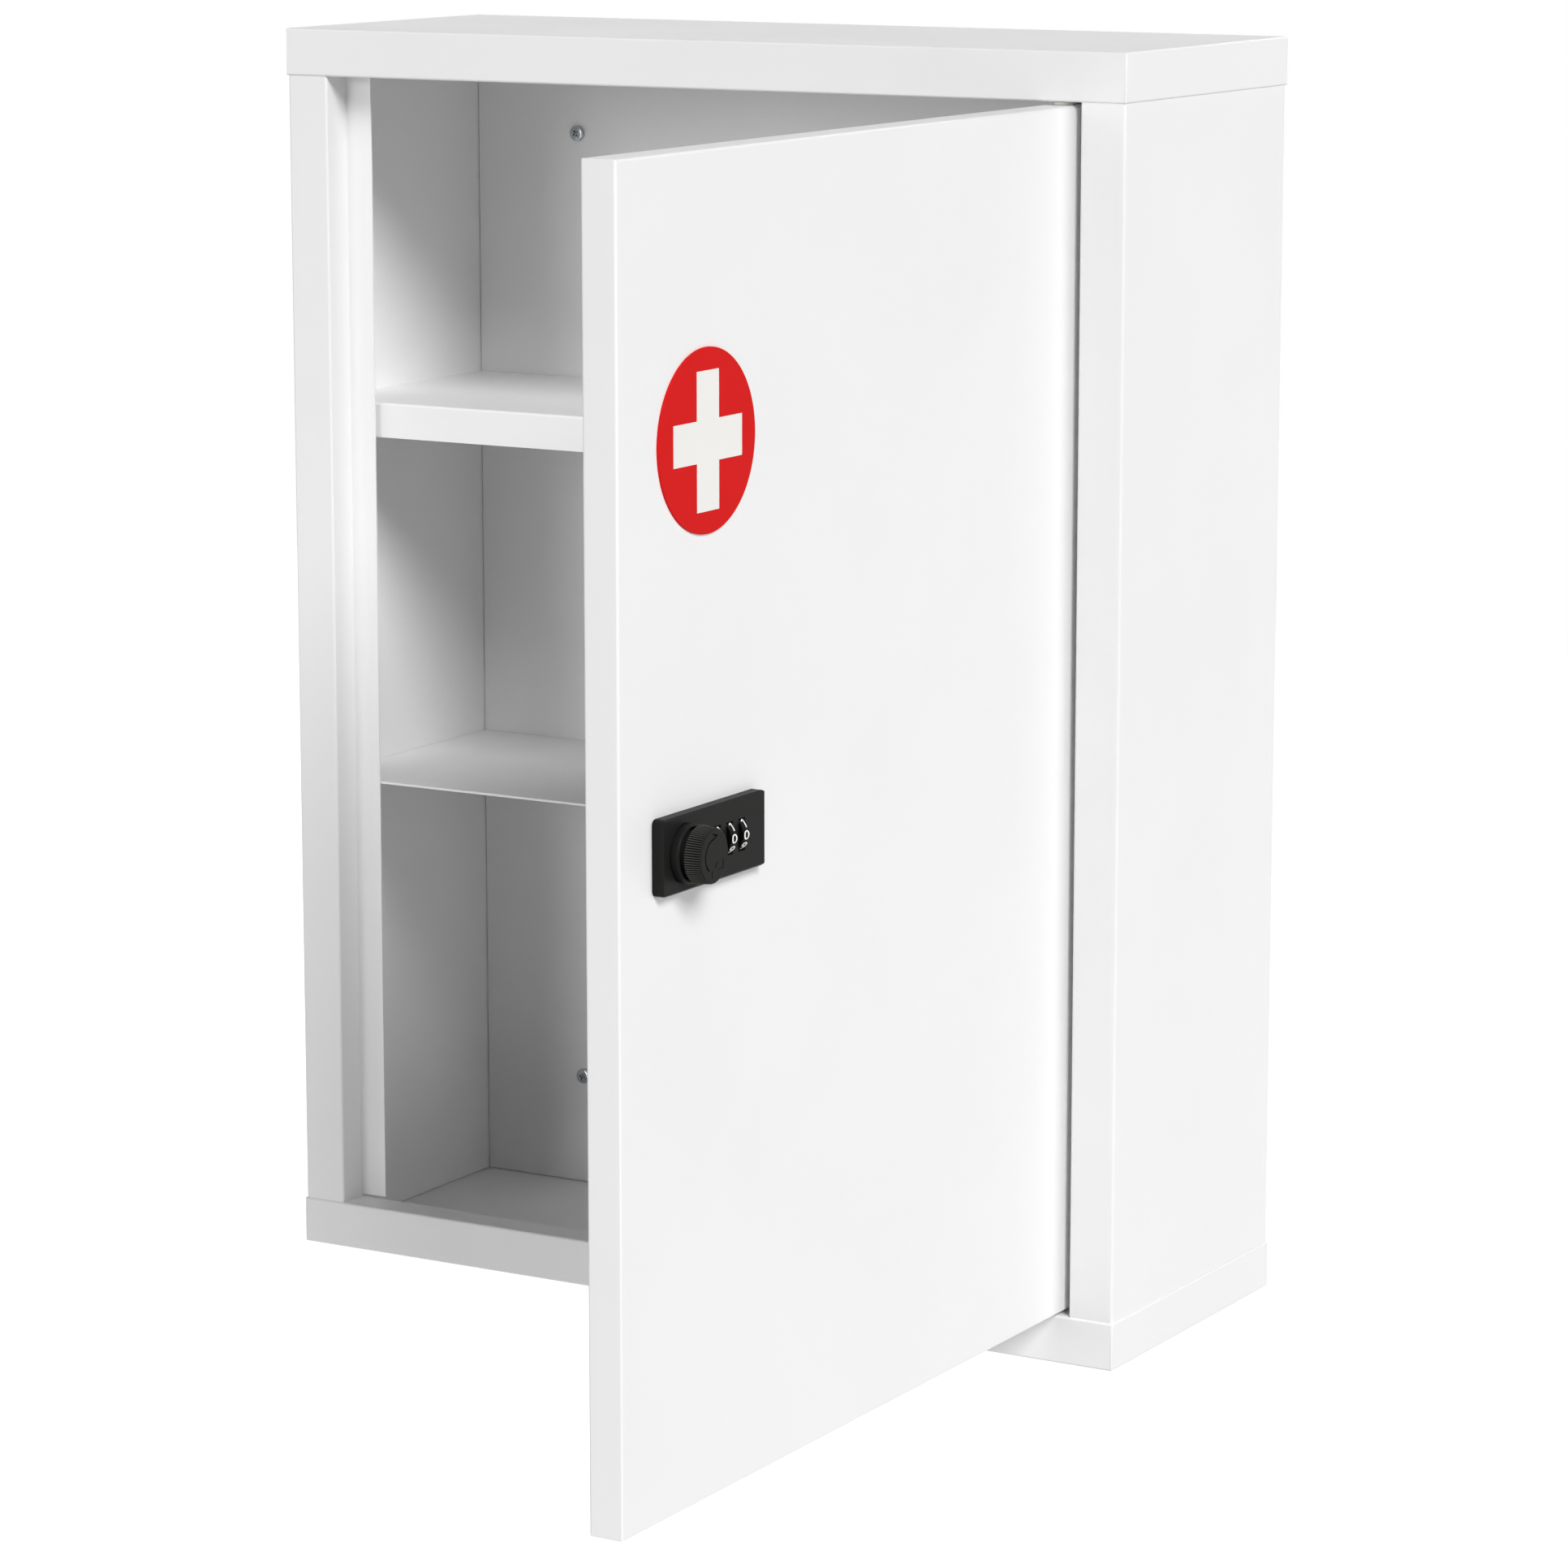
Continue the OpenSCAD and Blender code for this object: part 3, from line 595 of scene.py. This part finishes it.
def carved(body: bmesh.types.BMesh, tool: bmesh.types.BMesh) -> bmesh.types.BMesh:
    """Cuts one mesh out of another.

    Args:
        body: The mesh that is cut. It is freed.
        tool: The closed mesh that is taken away, which may not cross itself. It is freed.

    Returns:
        What is left of the body.
    """
    blank, cutter = (in_scene(n, as_data(m, n)) for n, m in (("body", body), ("tool", tool)))
    cut = blank.modifiers.new("cut", "BOOLEAN")
    cut.operation = "DIFFERENCE"
    cut.solver = "EXACT"
    cut.object = cutter
    bpy.context.view_layer.update()
    view = bpy.context.evaluated_depsgraph_get()
    left = bmesh.new()
    left.from_mesh(blank.evaluated_get(view).data)
    for item in (blank, cutter):
        bpy.data.meshes.remove(item.data)
    bmesh.ops.dissolve_limit(left, angle_limit=FLAT, verts=left.verts, edges=left.edges)
    return left


def finish_piece(
    mesh: bmesh.types.BMesh,
    name: str,
    finish: Finish,
    body: str,
    nodes: tuple[str, ...] = (),
    place: Matrix = Matrix.Identity(4),
) -> bpy.types.Object:
    """Makes an object of a mesh, dresses it and lets it ride on its body.

    Args:
        mesh: The piece's mesh in mm, which is freed.
        name: Name of the new piece.
        finish: Its finish.
        body: The CAD body that it moves with.
        nodes: The CAD nodes that it stands for.
        place: Turns the mesh's own frame to the row's, both in mm.

    Returns:
        The finished piece.
    """
    mesh.transform(Matrix.Scale(MM, 4) @ place)
    data = as_data(mesh, name)
    if "custom_normal" in data.attributes:
        data.attributes.remove(data.attributes["custom_normal"])
    data.materials.clear()
    data.materials.append(finish.material())
    data.polygons.foreach_set("material_index", [0] * len(data.polygons))
    data.shade_smooth()
    data.set_sharp_from_angle(angle=CREASE)
    piece = in_scene(name, data)
    weights = piece.modifiers.new("flat_faces_stay_flat", "WEIGHTED_NORMAL")
    weights.keep_sharp = True
    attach(piece, body)
    if nodes:
        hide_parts(*nodes)
    log.info("%s: %d faces, rides on %s", name, len(data.polygons), body)
    return piece


def dress_node(
    node: str,
    finish: Finish,
    body: Body,
    width: float,
    steps: int = 2,
    edge: Edge = Edge.SQUARE,
) -> bpy.types.Object:
    """Gives a CAD node rounded edges and its finish, as a new piece in its place.

    Args:
        node: The CAD node.
        finish: Its finish.
        body: The body that holds it.
        width: Rounding of its edges in mm.
        steps: Faces in each rounding.
        edge: Which edges are rounded.

    Returns:
        The piece that stands for the node.
    """
    mesh = cad_mesh(node)
    soften(mesh, width, steps, edge)
    return finish_piece(mesh, f"{node}_{finish.made}", finish, body.value, (node,))


# The cabinet's sub-assemblies


@dataclass
class Carcass:
    """The folded steel body with its shelves. Cut edges of the sheet are rounded by the coat."""

    cut_edge: float = 0.16
    shelf_edge: float = 0.25
    sheets: tuple[str, ...] = ("top_cap", "base_tray", "left_side", "right_side", "back_panel")

    def build(self) -> None:
        """Dresses the sheets, the shelves and what carries the lower shelf."""
        for node in self.sheets:
            dress_node(node, WHITE_COAT, Body.CABINET, self.cut_edge)
        for node in ("upper_shelf", "lower_shelf"):
            dress_node(node, WHITE_COAT, Body.CABINET, self.shelf_edge)
        for node in ("shelf_rail_left", "shelf_rail_right"):
            dress_node(node, WHITE_COAT, Body.CABINET, self.cut_edge)


@dataclass
class WallScrews:
    """Four pan head screws with a cross recess, whose threads stand out behind the back panel."""

    head_r: float = 3.1
    head_steps: int = 48
    crown: float = 0.45
    crown_mid: float = 0.09  # how far the crown has fallen half way out
    rim: float = 0.8
    foot: float = 0.2
    neck_r: float = 2.0
    neck_len: float = 1.0
    neck_taper: float = 0.3
    core_r: float = 1.25
    core_steps: int = 24
    crest_r: float = 1.75
    pitch: float = 1.5
    flank: float = 0.54  # half the width of the thread's foot
    root_sink: float = 0.1  # how far the thread's foot lies in the core
    thread_gap: float = 0.6
    thread_end: float = 1.2
    turn_steps: int = 18
    tip_len: float = 3.0
    tip_bow: float = 0.8  # below 1 the thread narrows late, close to the point
    slot_reach: float = 1.75
    slot_w: float = 0.85
    slot_deep: float = 1.2
    slot_taper: float = 0.55
    slot_past: float = 1.0
    turns: tuple[float, ...] = (12.0, -31.0, 47.0, -8.0)

    def head(self, high: float) -> bmesh.types.BMesh:
        """Turns the head and neck and sinks the cross recess.

        Args:
            high: Height of the head in mm.

        Returns:
            The head, with its seat at z = 0 and its top below that.
        """
        mesh = bmesh.new()
        outline = [(0, -high), (self.head_r / 2, self.crown_mid - high)]
        outline += rounding(self.head_r - self.rim, self.rim - high + self.crown / 2, self.rim, -90)
        outline += [(self.head_r, -self.foot), (self.head_r - self.foot, 0), (self.neck_r, 0)]
        outline += [(self.neck_r, self.neck_len - self.neck_taper), (self.core_r, self.neck_len)]
        turned(mesh, [*outline, (0, self.neck_len)], self.head_steps)
        half, floor = self.slot_w / 2, self.slot_deep - high
        for reach, side in ((self.slot_reach, half), (half, self.slot_reach)):
            tool = bmesh.new()
            low = Vector((-reach, -side, -high - self.slot_past))
            block = add_block(tool, low, Vector((reach, side, floor)))
            deep = [corner for corner in block if corner.co.z > -high]
            bmesh.ops.scale(tool, vec=Vector((self.slot_taper, self.slot_taper, 1)), verts=deep)
            mesh = carved(mesh, tool)
        return mesh

    def add_thread(self, mesh: bmesh.types.BMesh, length: float) -> None:
        """Adds the core with its point, and winds the thread round it.

        Args:
            mesh: The screw's mesh, in its own frame.
            length: From the head's seat to the point.
        """
        core = [(0, 0), (self.core_r, 0), (self.core_r, length - self.tip_len), (0, length)]
        turned(mesh, core, self.core_steps)
        start, root = self.neck_len + self.thread_gap, self.core_r - self.root_sink
        tooth = [(root, start - self.flank), (self.crest_r, start), (root, start + self.flank)]
        section = [mesh.verts.new((radius, 0, height)) for radius, height in tooth]
        face = mesh.faces.new(section)
        ring = len(mesh.verts) - len(section)
        winds = (length - self.thread_end - start) / self.pitch
        bmesh.ops.spin(
            mesh, geom=[face, *face.edges, *section], axis=(0, 0, 1), cent=(0, 0, 0),
            dvec=(0, 0, self.pitch / self.turn_steps), angle=FULL_TURN * winds,
            steps=int(self.turn_steps * winds),
        )
        mesh.verts.ensure_lookup_table()
        for corner in mesh.verts[ring:]:
            share = min(1.0, max(0.0, (length - corner.co.z) / self.tip_len))
            corner.co.xy *= share ** self.tip_bow
        bmesh.ops.recalc_face_normals(mesh, faces=mesh.faces)

    def build(self) -> None:
        """Builds one screw, and places it four times in one piece."""
        low, high = node_box("wall_screws")
        seat = node_box("back_panel")[0].y
        screw = self.head(seat - low.y)
        self.add_thread(screw, high.y - seat)
        one = as_data(screw, "screw")
        group = bmesh.new()
        sides = (low.x + self.head_r, high.x - self.head_r)
        levels = (low.z + self.head_r, high.z - self.head_r)
        spots = [(x, z) for x in sides for z in levels]
        for (x, z), turn in zip(spots, self.turns):
            first = len(group.verts)
            group.from_mesh(one)
            group.verts.ensure_lookup_table()
            turning = Matrix.Rotation(math.radians(turn), 4, "Z")
            place = Matrix.Translation((x, seat, z)) @ INTO_WALL @ turning
            bmesh.ops.transform(group, matrix=place, verts=group.verts[first:])
        bpy.data.meshes.remove(one)
        finish_piece(group, "wall_screws_plated", ZINC_PLATE, Body.CABINET.value, ("wall_screws",))


@dataclass
class Hinge:
    """Pins riveted in the caps, and the nylon bushes of the door that turn on them."""

    pin_edge: float = 0.25
    bush_edge: float = 0.2

    def build(self) -> None:
        """Dresses both pins and both bushes."""
        for end in ("top", "bottom"):
            dress_node(f"hinge_pin_{end}", ZINC_PLATE, Body.CABINET, self.pin_edge)
            dress_node(f"hinge_bush_{end}", NYLON, Body.DOOR, self.bush_edge)


@dataclass
class Door:
    """The door's folded shell and the liner behind its lip."""

    cut_edge: float = 0.16

    def build(self) -> None:
        """Dresses the shell and the liner."""
        for node in ("door_shell", "door_liner"):
            dress_node(node, WHITE_COAT, Body.DOOR, self.cut_edge)


@dataclass
class Badge:
    """A red disc with a white cross, on the door."""

    rim: float = 0.22
    steps: int = 144
    print_edge: float = 0.05

    def build(self) -> None:
        """Builds the disc with a rounded rim, and dresses the cross."""
        low, high = node_box("badge_disc")
        radius, thick = (high.z - low.z) / 2, high.x - low.x
        rim = rounding(radius - self.rim, thick - self.rim, self.rim, 0)
        disc = bmesh.new()
        turned(disc, [(0, 0), (radius, 0), *rim, (0, thick)], self.steps)
        place = Matrix.Translation((low.x, (low.y + high.y) / 2, (low.z + high.z) / 2)) @ OUTWARDS
        finish_piece(disc, "badge_disc_printed", RED_VINYL, Body.DOOR.value, ("badge_disc",), place)
        dress_node("badge_cross", WHITE_VINYL, Body.DOOR, self.print_edge)


@dataclass
class OnLock:
    """What the lock's pieces share: a frame with the knob's axis on z and the door at z = 0."""

    axis: Vector = field(init=False)

    def __post_init__(self) -> None:
        """Finds the knob's axis on the door's face."""
        low, high = node_box("knob")
        face = node_box("lock_plate")[0].x
        self.axis = Vector((face, (low.y + high.y) / 2, (low.z + high.z) / 2))

    def place(self) -> Matrix:
        """From the lock's own frame to the row's."""
        return Matrix.Translation(self.axis) @ OUTWARDS


@dataclass
class LockCase(OnLock):
    """The lock's plate and collar, the casting behind them, and the cam that holds the door."""

    plate_edge: float = 0.28
    plate_steps: int = 3
    metal_edge: float = 0.2
    spring_edge: float = 0.04
    collar_soft: float = 0.8
    collar_wall: float = 1.0
    collar_edge: float = 0.2
    collar_steps: int = 96
    shadow_gap: float = 0.3
    shadow_lift: float = 0.15

    def build(self) -> None:
        """Dresses the plate and the metal parts, and builds the collar."""
        dress_node(
            "lock_plate", BLACK_ABS, Body.DOOR, self.plate_edge, self.plate_steps, Edge.FOLDED
        )
        dress_node("lock_body", ZINC_CASTING, Body.DOOR, self.metal_edge)
        for node in ("lock_screws", "lock_nut", "wheel_axle"):
            dress_node(node, ZINC_PLATE, Body.DOOR, self.metal_edge)
        dress_node("detent_spring", SPRING_STEEL, Body.DOOR, self.spring_edge)
        for node in ("knob_spindle", "cam", "cam_washer", "cam_screw"):
            dress_node(node, ZINC_PLATE, Body.KNOB, self.metal_edge)
        self.build_collar()

    def build_collar(self) -> None:
        """Turns the ring round the knob's foot, with a shadow line where it meets the plate."""
        low, high = node_box("lock_collar")
        face = node_box("lock_plate")[1].x - self.axis.x
        foot, top, radius = low.x - self.axis.x, high.x - self.axis.x, (high.z - low.z) / 2
        bore, waist = radius - self.collar_wall, radius - self.shadow_gap
        outline = [(bore, foot), (waist, foot), (waist, face + self.shadow_lift)]
        outline += [(radius, face + self.shadow_gap + self.shadow_lift)]
        outline += rounding(radius - self.collar_soft, top - self.collar_soft, self.collar_soft, 0)
        outline += [(bore + self.collar_edge, top), (bore, top - self.collar_edge), (bore, foot)]
        ring = bmesh.new()
        turned(ring, outline, self.collar_steps)
        finish_piece(
            ring, "lock_collar_moulded", BLACK_ABS, Body.DOOR.value, ("lock_collar",), self.place()
        )


@dataclass
class Knob(OnLock):
    """The knob with its ridged grip and the signs in its front."""

    grip_gap: float = 1.8
    neck_set: float = 1.9
    neck_steps: int = 64
    taper: float = 0.6
    ridges: int = 72
    ridge_steps: int = 6
    ridge_deep: float = 0.5
    ridge_end: float = 0.2
    ridge_point: float = 1.6  # above 1 the grooves are narrower than the ridges
    wear_point: float = 7.0  # the higher, the narrower the painted highlight on the tips
    # how strongly the painted highlight shows on the ridges near the front
    front_wear: float = 0.5
    front_edge: float = 0.25
    mark_deep: float = 0.8
    mark_w: float = 0.6
    arc_mark_r: float = 5.2
    arc_mark_from: float = 97.0
    arc_mark_to: float = 233.0
    arc_steps: int = 20
    arrow: Line = ((-1.0, 7.5), (2.2, 6.5))
    pointer: Line = ((-1.1, -4.4), (-1.1, -7.1))
    lock_sign: Line = ((5.6, -1.9), (5.5, -4.8), (2.1, -4.9))
    lock_bow: Line = ((2.2, -2.4), (1.0, -3.1), (1.2, -3.9))

    def ridge(self, angle: float) -> float:
        """How far the grip lies inside its widest at an angle, in mm. Its grooves are narrow."""
        return self.ridge_deep * (0.5 - 0.5 * math.cos(self.ridges * angle)) ** self.ridge_point

    def grip(self, under: float, front: float, radius: float) -> bmesh.types.BMesh:
        """The ridged grip of the knob before its marks are cut.

        Args:
            under: Height of its underside above the door's face.
            front: Height of its front.
            radius: Its radius over the ridges.

        Returns:
            The grip, in the lock's frame.
        """
        blank = bmesh.new()
        # a layer that holds the painted highlight of each corner
        tip_glint = blank.verts.layers.float.new(GLINT_ATTRIBUTE)
        bmesh.ops.create_circle(
            blank, cap_ends=True, radius=radius, segments=self.ridges * self.ridge_steps
        )
        root = radius - self.ridge_deep
        shoulder = front - self.front_edge
        # height, radius and painted highlight share of each ring
        layers = [
            (under + self.ridge_end, radius, 1.0),
            (shoulder - self.ridge_end, radius - self.taper, self.front_wear),
            (shoulder, root - self.taper, 0.0),
            (front, root - self.taper - self.front_edge, 0.0),
        ]
        ring = list(blank.verts)
        bmesh.ops.translate(blank, vec=(0, 0, under), verts=ring)
        self.set_ring(ring, root, 0.0, tip_glint)
        cap = blank.faces[:][0]
        for height, wide, glint_share in layers:
            cap = bmesh.ops.extrude_discrete_faces(blank, faces=[cap])["faces"][0]
            for corner in cap.verts:
                corner.co.z = height
            self.set_ring(list(cap.verts), wide, glint_share, tip_glint)
        blank.faces.new(ring)
        bmesh.ops.recalc_face_normals(blank, faces=blank.faces)
        return blank

    def set_ring(
        self,
        ring: list[bmesh.types.BMVert],
        wide: float,
        glint_share: float,
        tip_glint: bmesh.types.BMLayerItem,
    ) -> None:
        """Sets the radius of each corner of a ring, and how strongly the painted highlight shows
        there.

        Args:
            ring: The ring's corners.
            wide: Its largest radius.
            glint_share: How strongly the highlight painted on the tips of its ridges shows. A ring
                where this is nought has no ridges.
            tip_glint: The layer that keeps the painted highlight.
        """
        for corner in ring:
            angle = math.atan2(corner.co.y, corner.co.x)
            sunk = self.ridge(angle) if glint_share else 0.0
            reach = wide - sunk
            corner.co.x, corner.co.y = reach * math.cos(angle), reach * math.sin(angle)
            # painted highlight, strongest at the tips of the ridges
            corner[tip_glint] = glint_share * (1 - sunk / self.ridge_deep) ** self.wear_point

    def build(self) -> None:
        """Builds the grip, cuts its signs and sets it on its neck."""
        low, high = node_box("knob")
        under = node_box("lock_collar")[1].x - self.axis.x + self.grip_gap
        foot, front = low.x - self.axis.x, high.x - self.axis.x
        radius = (high.z - low.z) / 2
        knob = self.grip(under, front, radius)
        for line in (self.arc_arrow(), self.pointer, self.lock_sign, self.lock_bow):
            knob = carved(knob, self.groove(line, front))
        neck, top = radius - self.neck_set, under + self.ridge_end
        turned(knob, [(0, foot), (neck, foot), (neck, top), (0, top)], self.neck_steps)
        finish_piece(knob, "knob_moulded", GLINT_ABS, Body.KNOB.value, ("knob",), self.place())

    def arc_arrow(self) -> Line:
        """The line of the curved arrow, from its barb round to its tail."""
        sweep = (self.arc_mark_to - self.arc_mark_from) / self.arc_steps
        angles = [math.radians(self.arc_mark_from + sweep * i) for i in range(self.arc_steps + 1)]
        bow = tuple((self.arc_mark_r * math.cos(a), self.arc_mark_r * math.sin(a)) for a in angles)
        return self.arrow + bow

    def groove(self, line: Line, front: float) -> bmesh.types.BMesh:
        """A wall that follows a line on the knob's front, to be cut out of it.

        Args:
            line: Points of the line, from the knob's axis.
            front: Height of the knob's front above the door.

        Returns:
            The cutting tool, in the lock's frame.
        """
        tool = bmesh.new()
        add_wall(tool, line, front - self.mark_deep, front + self.mark_deep, self.mark_w)
        return tool


@dataclass
class NumberWheels:
    """The lock's three wheels with their painted numbers."""

    wheels: tuple[int, ...] = (1, 2, 3)
    wheel_edge: float = 0.12
    digits: int = 10
    digit_h: float = 3.05
    digit_wide: float = 1.65
    digit_bold: float = 0.004
    digit_cuts: int = 8
    digit_shift: float = 0.2
    digit_bite: float = 0.06
    digit_proud: float = 0.03
    one_wide: float = 1.3
    one_shift: float = 0.55
    one_flag: Line = ((0.35, 1.3), (-1.05, 0.62))
    flag_w: float = 0.5

    def build(self) -> None:
        """Builds the wheels, counted from the knob."""
        for number in self.wheels:
            self.build_wheel(number)

    def build_wheel(self, number: int) -> None:
        """Dresses one number wheel and fills in its numbers.

        Args:
            number: Which wheel.
        """
        node, body = f"number_wheel_{number}", f"dial_{number}"
        low, high = node_box(node)
        centre, radius = (low + high) / 2, (high.z - low.z) / 2
        mesh = cad_mesh(node)
        soften(mesh, self.wheel_edge)
        finish_piece(mesh, f"{node}_moulded", BLACK_ACETAL, body, (node,))
        paint = bmesh.new()
        step = FULL_TURN / self.digits
        for digit in range(self.digits):
            shape = self.flat_digit(digit)
            self.bend(shape, step * digit, radius)
            add_mesh(paint, shape)
        place = Matrix.Translation(centre) @ OUTWARDS
        finish_piece(paint, f"numbers_{number}", NUMBER_PAINT, body, (), place)

    def letter(self, digit: int) -> bmesh.types.BMesh:
        """A digit in Blender's own font, in heights of a letter."""
        curve = bpy.data.curves.new("digit", "FONT")
        curve.body = str(digit)
        curve.extrude = (self.digit_bite + self.digit_proud) / 2 / self.digit_h
        curve.offset = self.digit_bold
        written = in_scene("digit", curve)
        flat = bpy.data.meshes.new_from_object(written)
        bpy.data.objects.remove(written)
        bpy.data.curves.remove(curve)
        shape = bmesh.new()
        shape.from_mesh(flat)
        bpy.data.meshes.remove(flat)
        bmesh.ops.remove_doubles(shape, verts=shape.verts, dist=TEXT_MERGE)
        return shape

    def flat_digit(self, digit: int) -> bmesh.types.BMesh:
        """Brings a digit to its size, before it is bent.

        Args:
            digit: From 0 to 9.

        Returns:
            The digit in mm, with its middle near the origin.
        """
        shape = self.letter(digit)
        sides = [corner.co.x for corner in shape.verts]
        heights = [corner.co.y for corner in shape.verts]
        middle = Vector(((min(sides) + max(sides)) / 2, (min(heights) + max(heights)) / 2, 0))
        size = self.digit_h / (max(heights) - min(heights))
        one = digit == 1
        wide = self.one_wide if one else self.digit_wide
        bmesh.ops.translate(shape, vec=-middle, verts=shape.verts)
        bmesh.ops.scale(shape, vec=(size * wide, size, self.digit_h), verts=shape.verts)
        if one:
            self.add_flag(shape)
        shift = self.digit_shift + (self.one_shift if one else 0)
        bmesh.ops.translate(shape, vec=(shift, 0, 0), verts=shape.verts)
        return shape

    def add_flag(self, one: bmesh.types.BMesh) -> None:
        """Adds a longer slanted stroke to the top of a one."""
        flag = bmesh.new()
        half = (self.digit_bite + self.digit_proud) / 2
        add_wall(flag, self.one_flag, -half, half, self.flag_w)
        add_mesh(one, flag)

    def bend(self, shape: bmesh.types.BMesh, turn: float, radius: float) -> None:
        """Bends a flat digit round the wheel.

        Args:
            shape: The digit, whose z points out of the door.
            turn: Where it goes, up from the front. Digit 0 faces out at rest, 1 is above it.
            radius: The wheel's radius.
        """
        for cut in range(1, self.digit_cuts):
            everything = shape.verts[:] + shape.edges[:] + shape.faces[:]
            level = (cut / self.digit_cuts - 0.5) * self.digit_h
            bmesh.ops.bisect_plane(
                shape, geom=everything, dist=CUT_SNAP, plane_co=(0, level, 0), plane_no=(0, 1, 0)
            )
        for corner in shape.verts:
            reach = radius + corner.co.z + (self.digit_proud - self.digit_bite) / 2
            angle = turn + corner.co.y / radius
            corner.co.y, corner.co.z = reach * math.sin(angle), reach * math.cos(angle)


# The studio


def heading(azimuth: float, elevation: float) -> Vector:
    """A way out from the cabinet.

    Args:
        azimuth: Degrees round from straight in front, towards the right.
        elevation: Degrees up.

    Returns:
        A vector of length one.
    """
    around, up = math.radians(azimuth), math.radians(elevation)
    level = math.cos(up)
    return Vector((math.sin(around) * level, -math.cos(around) * level, math.sin(up)))


def face_back(item: bpy.types.Object, towards: Vector) -> None:
    """Turns a lamp or camera until its back points along a vector."""
    item.rotation_mode = "QUATERNION"
    item.rotation_quaternion = towards.to_track_quat("Z", "Y")


@dataclass(frozen=True)
class Lamp:
    """A soft lamp that shines on the cabinet from far away."""

    name: str
    azimuth: float
    elevation: float
    strength: float
    spread: float = 22.0
    distance: float = 3000.0

    def place(self) -> None:
        """Puts the lamp in the scene."""
        data = bpy.data.lights.new(self.name, "SUN")
        data.energy = self.strength
        data.angle = math.radians(self.spread)
        lamp = in_scene(self.name, data)
        towards = heading(self.azimuth, self.elevation)
        face_back(lamp, towards)
        lamp.location = towards * self.distance * MM


@dataclass
class Studio:
    """Camera, lamps, world and floor."""

    camera_place: tuple[float, float, float] = (1042.7, -1855.8, 339.2)
    camera_azimuth: float = 30.184
    camera_elevation: float = 10.604
    lens: float = 125.04
    sensor: float = 36.0
    floor_size: float = 14000.0
    floor_drop: float = 1200.0
    floor_colour: str = "#EDEDED"
    floor_roughness: float = 0.9
    floor_glow: float = 0.55
    sky_strength: float = 0.02
    lamps: tuple[Lamp, ...] = (
        Lamp("key", 54, 36, 2.55),
        Lamp("side_fill", 105, 10, 0.72),
        Lamp("front_fill", -10, 10, 0.69),
        Lamp("left_fill", -35, 10, 0.25),
        Lamp("rear_fill", 190, 8, 0.75),
        Lamp("far_fill", -110, 10, 0.55),
    )

    def build(self) -> None:
        """Sets up the studio."""
        bpy.context.scene.view_settings.view_transform = "Standard"
        self.place_camera()
        for lamp in self.lamps:
            lamp.place()
        self.make_world()
        self.make_floor()

    def place_camera(self) -> None:
        """Points the camera as the photograph does."""
        data = bpy.data.cameras.new("camera")
        data.sensor_width = self.sensor
        data.lens = self.lens
        camera = in_scene("camera", data)
        face_back(camera, heading(self.camera_azimuth, self.camera_elevation))
        camera.location = Vector(self.camera_place) * MM
        bpy.context.scene.camera = camera

    def white_for_camera(self, tree: bpy.types.NodeTree) -> bpy.types.NodeSocket:
        """One where a ray comes from the camera, a mirror or glass, and nought elsewhere."""
        path = add_node(tree, "ShaderNodeLightPath")
        seen = path.outputs["Is Camera Ray"]
        for way in ("Is Glossy Ray", "Is Transmission Ray"):
            seen = add_node(
                tree, "ShaderNodeMath", {0: seen, 1: path.outputs[way]}, operation="MAXIMUM"
            ).outputs[0]
        return seen

    def make_world(self) -> None:
        """A soft sky for the light, which the camera sees as white."""
        world = bpy.data.worlds.new("studio")
        world.use_nodes = True
        tree = world.node_tree
        tree.nodes.clear()
        sky, white = (
            add_node(
                tree, "ShaderNodeBackground", values={"Strength": strength, "Color": linear(WHITE)}
            )
            for strength in (self.sky_strength, 1.0)
        )
        mix = add_node(
            tree,
            "ShaderNodeMixShader",
            {0: self.white_for_camera(tree), 1: sky.outputs[0], 2: white.outputs[0]},
        )
        add_node(tree, "ShaderNodeOutputWorld", {"Surface": mix.outputs[0]})
        bpy.context.scene.world = world

    def make_floor(self) -> None:
        """A pale floor below the hanging cabinet, which keeps its shadow."""
        mesh = bmesh.new()
        place = Matrix.Translation((0, 0, -self.floor_drop * MM))
        bmesh.ops.create_grid(
            mesh, x_segments=1, y_segments=1, size=self.floor_size * MM / 2, matrix=place
        )
        data = as_data(mesh, "floor")
        finish = bpy.data.materials.new("floor_paint")
        finish.use_nodes = True
        tree = finish.node_tree
        shader = tree.nodes["Principled BSDF"]
        shader.inputs["Base Color"].default_value = linear(self.floor_colour)
        shader.inputs["Roughness"].default_value = self.floor_roughness
        shader.inputs["Emission Color"].default_value = linear(WHITE)
        glow = add_node(
            tree, "ShaderNodeMath", {0: self.white_for_camera(tree)}, {1: self.floor_glow},
            operation="MULTIPLY",
        )
        tree.links.new(glow.outputs[0], shader.inputs["Emission Strength"])
        data.materials.append(finish)
        floor = in_scene("floor", data)


def main() -> None:
    """Builds the studio and the cabinet."""
    logging.basicConfig(level=logging.INFO, format="%(name)s %(message)s")
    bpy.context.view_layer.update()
    cabinet = (Carcass(), WallScrews(), Hinge(), Door(), Badge())
    lock = (LockCase(), Knob(), NumberWheels())
    for part in (Studio(), *cabinet, *lock):
        part.build()
        log.info("%s done", type(part).__name__)


if __name__ == "__main__":
    main()
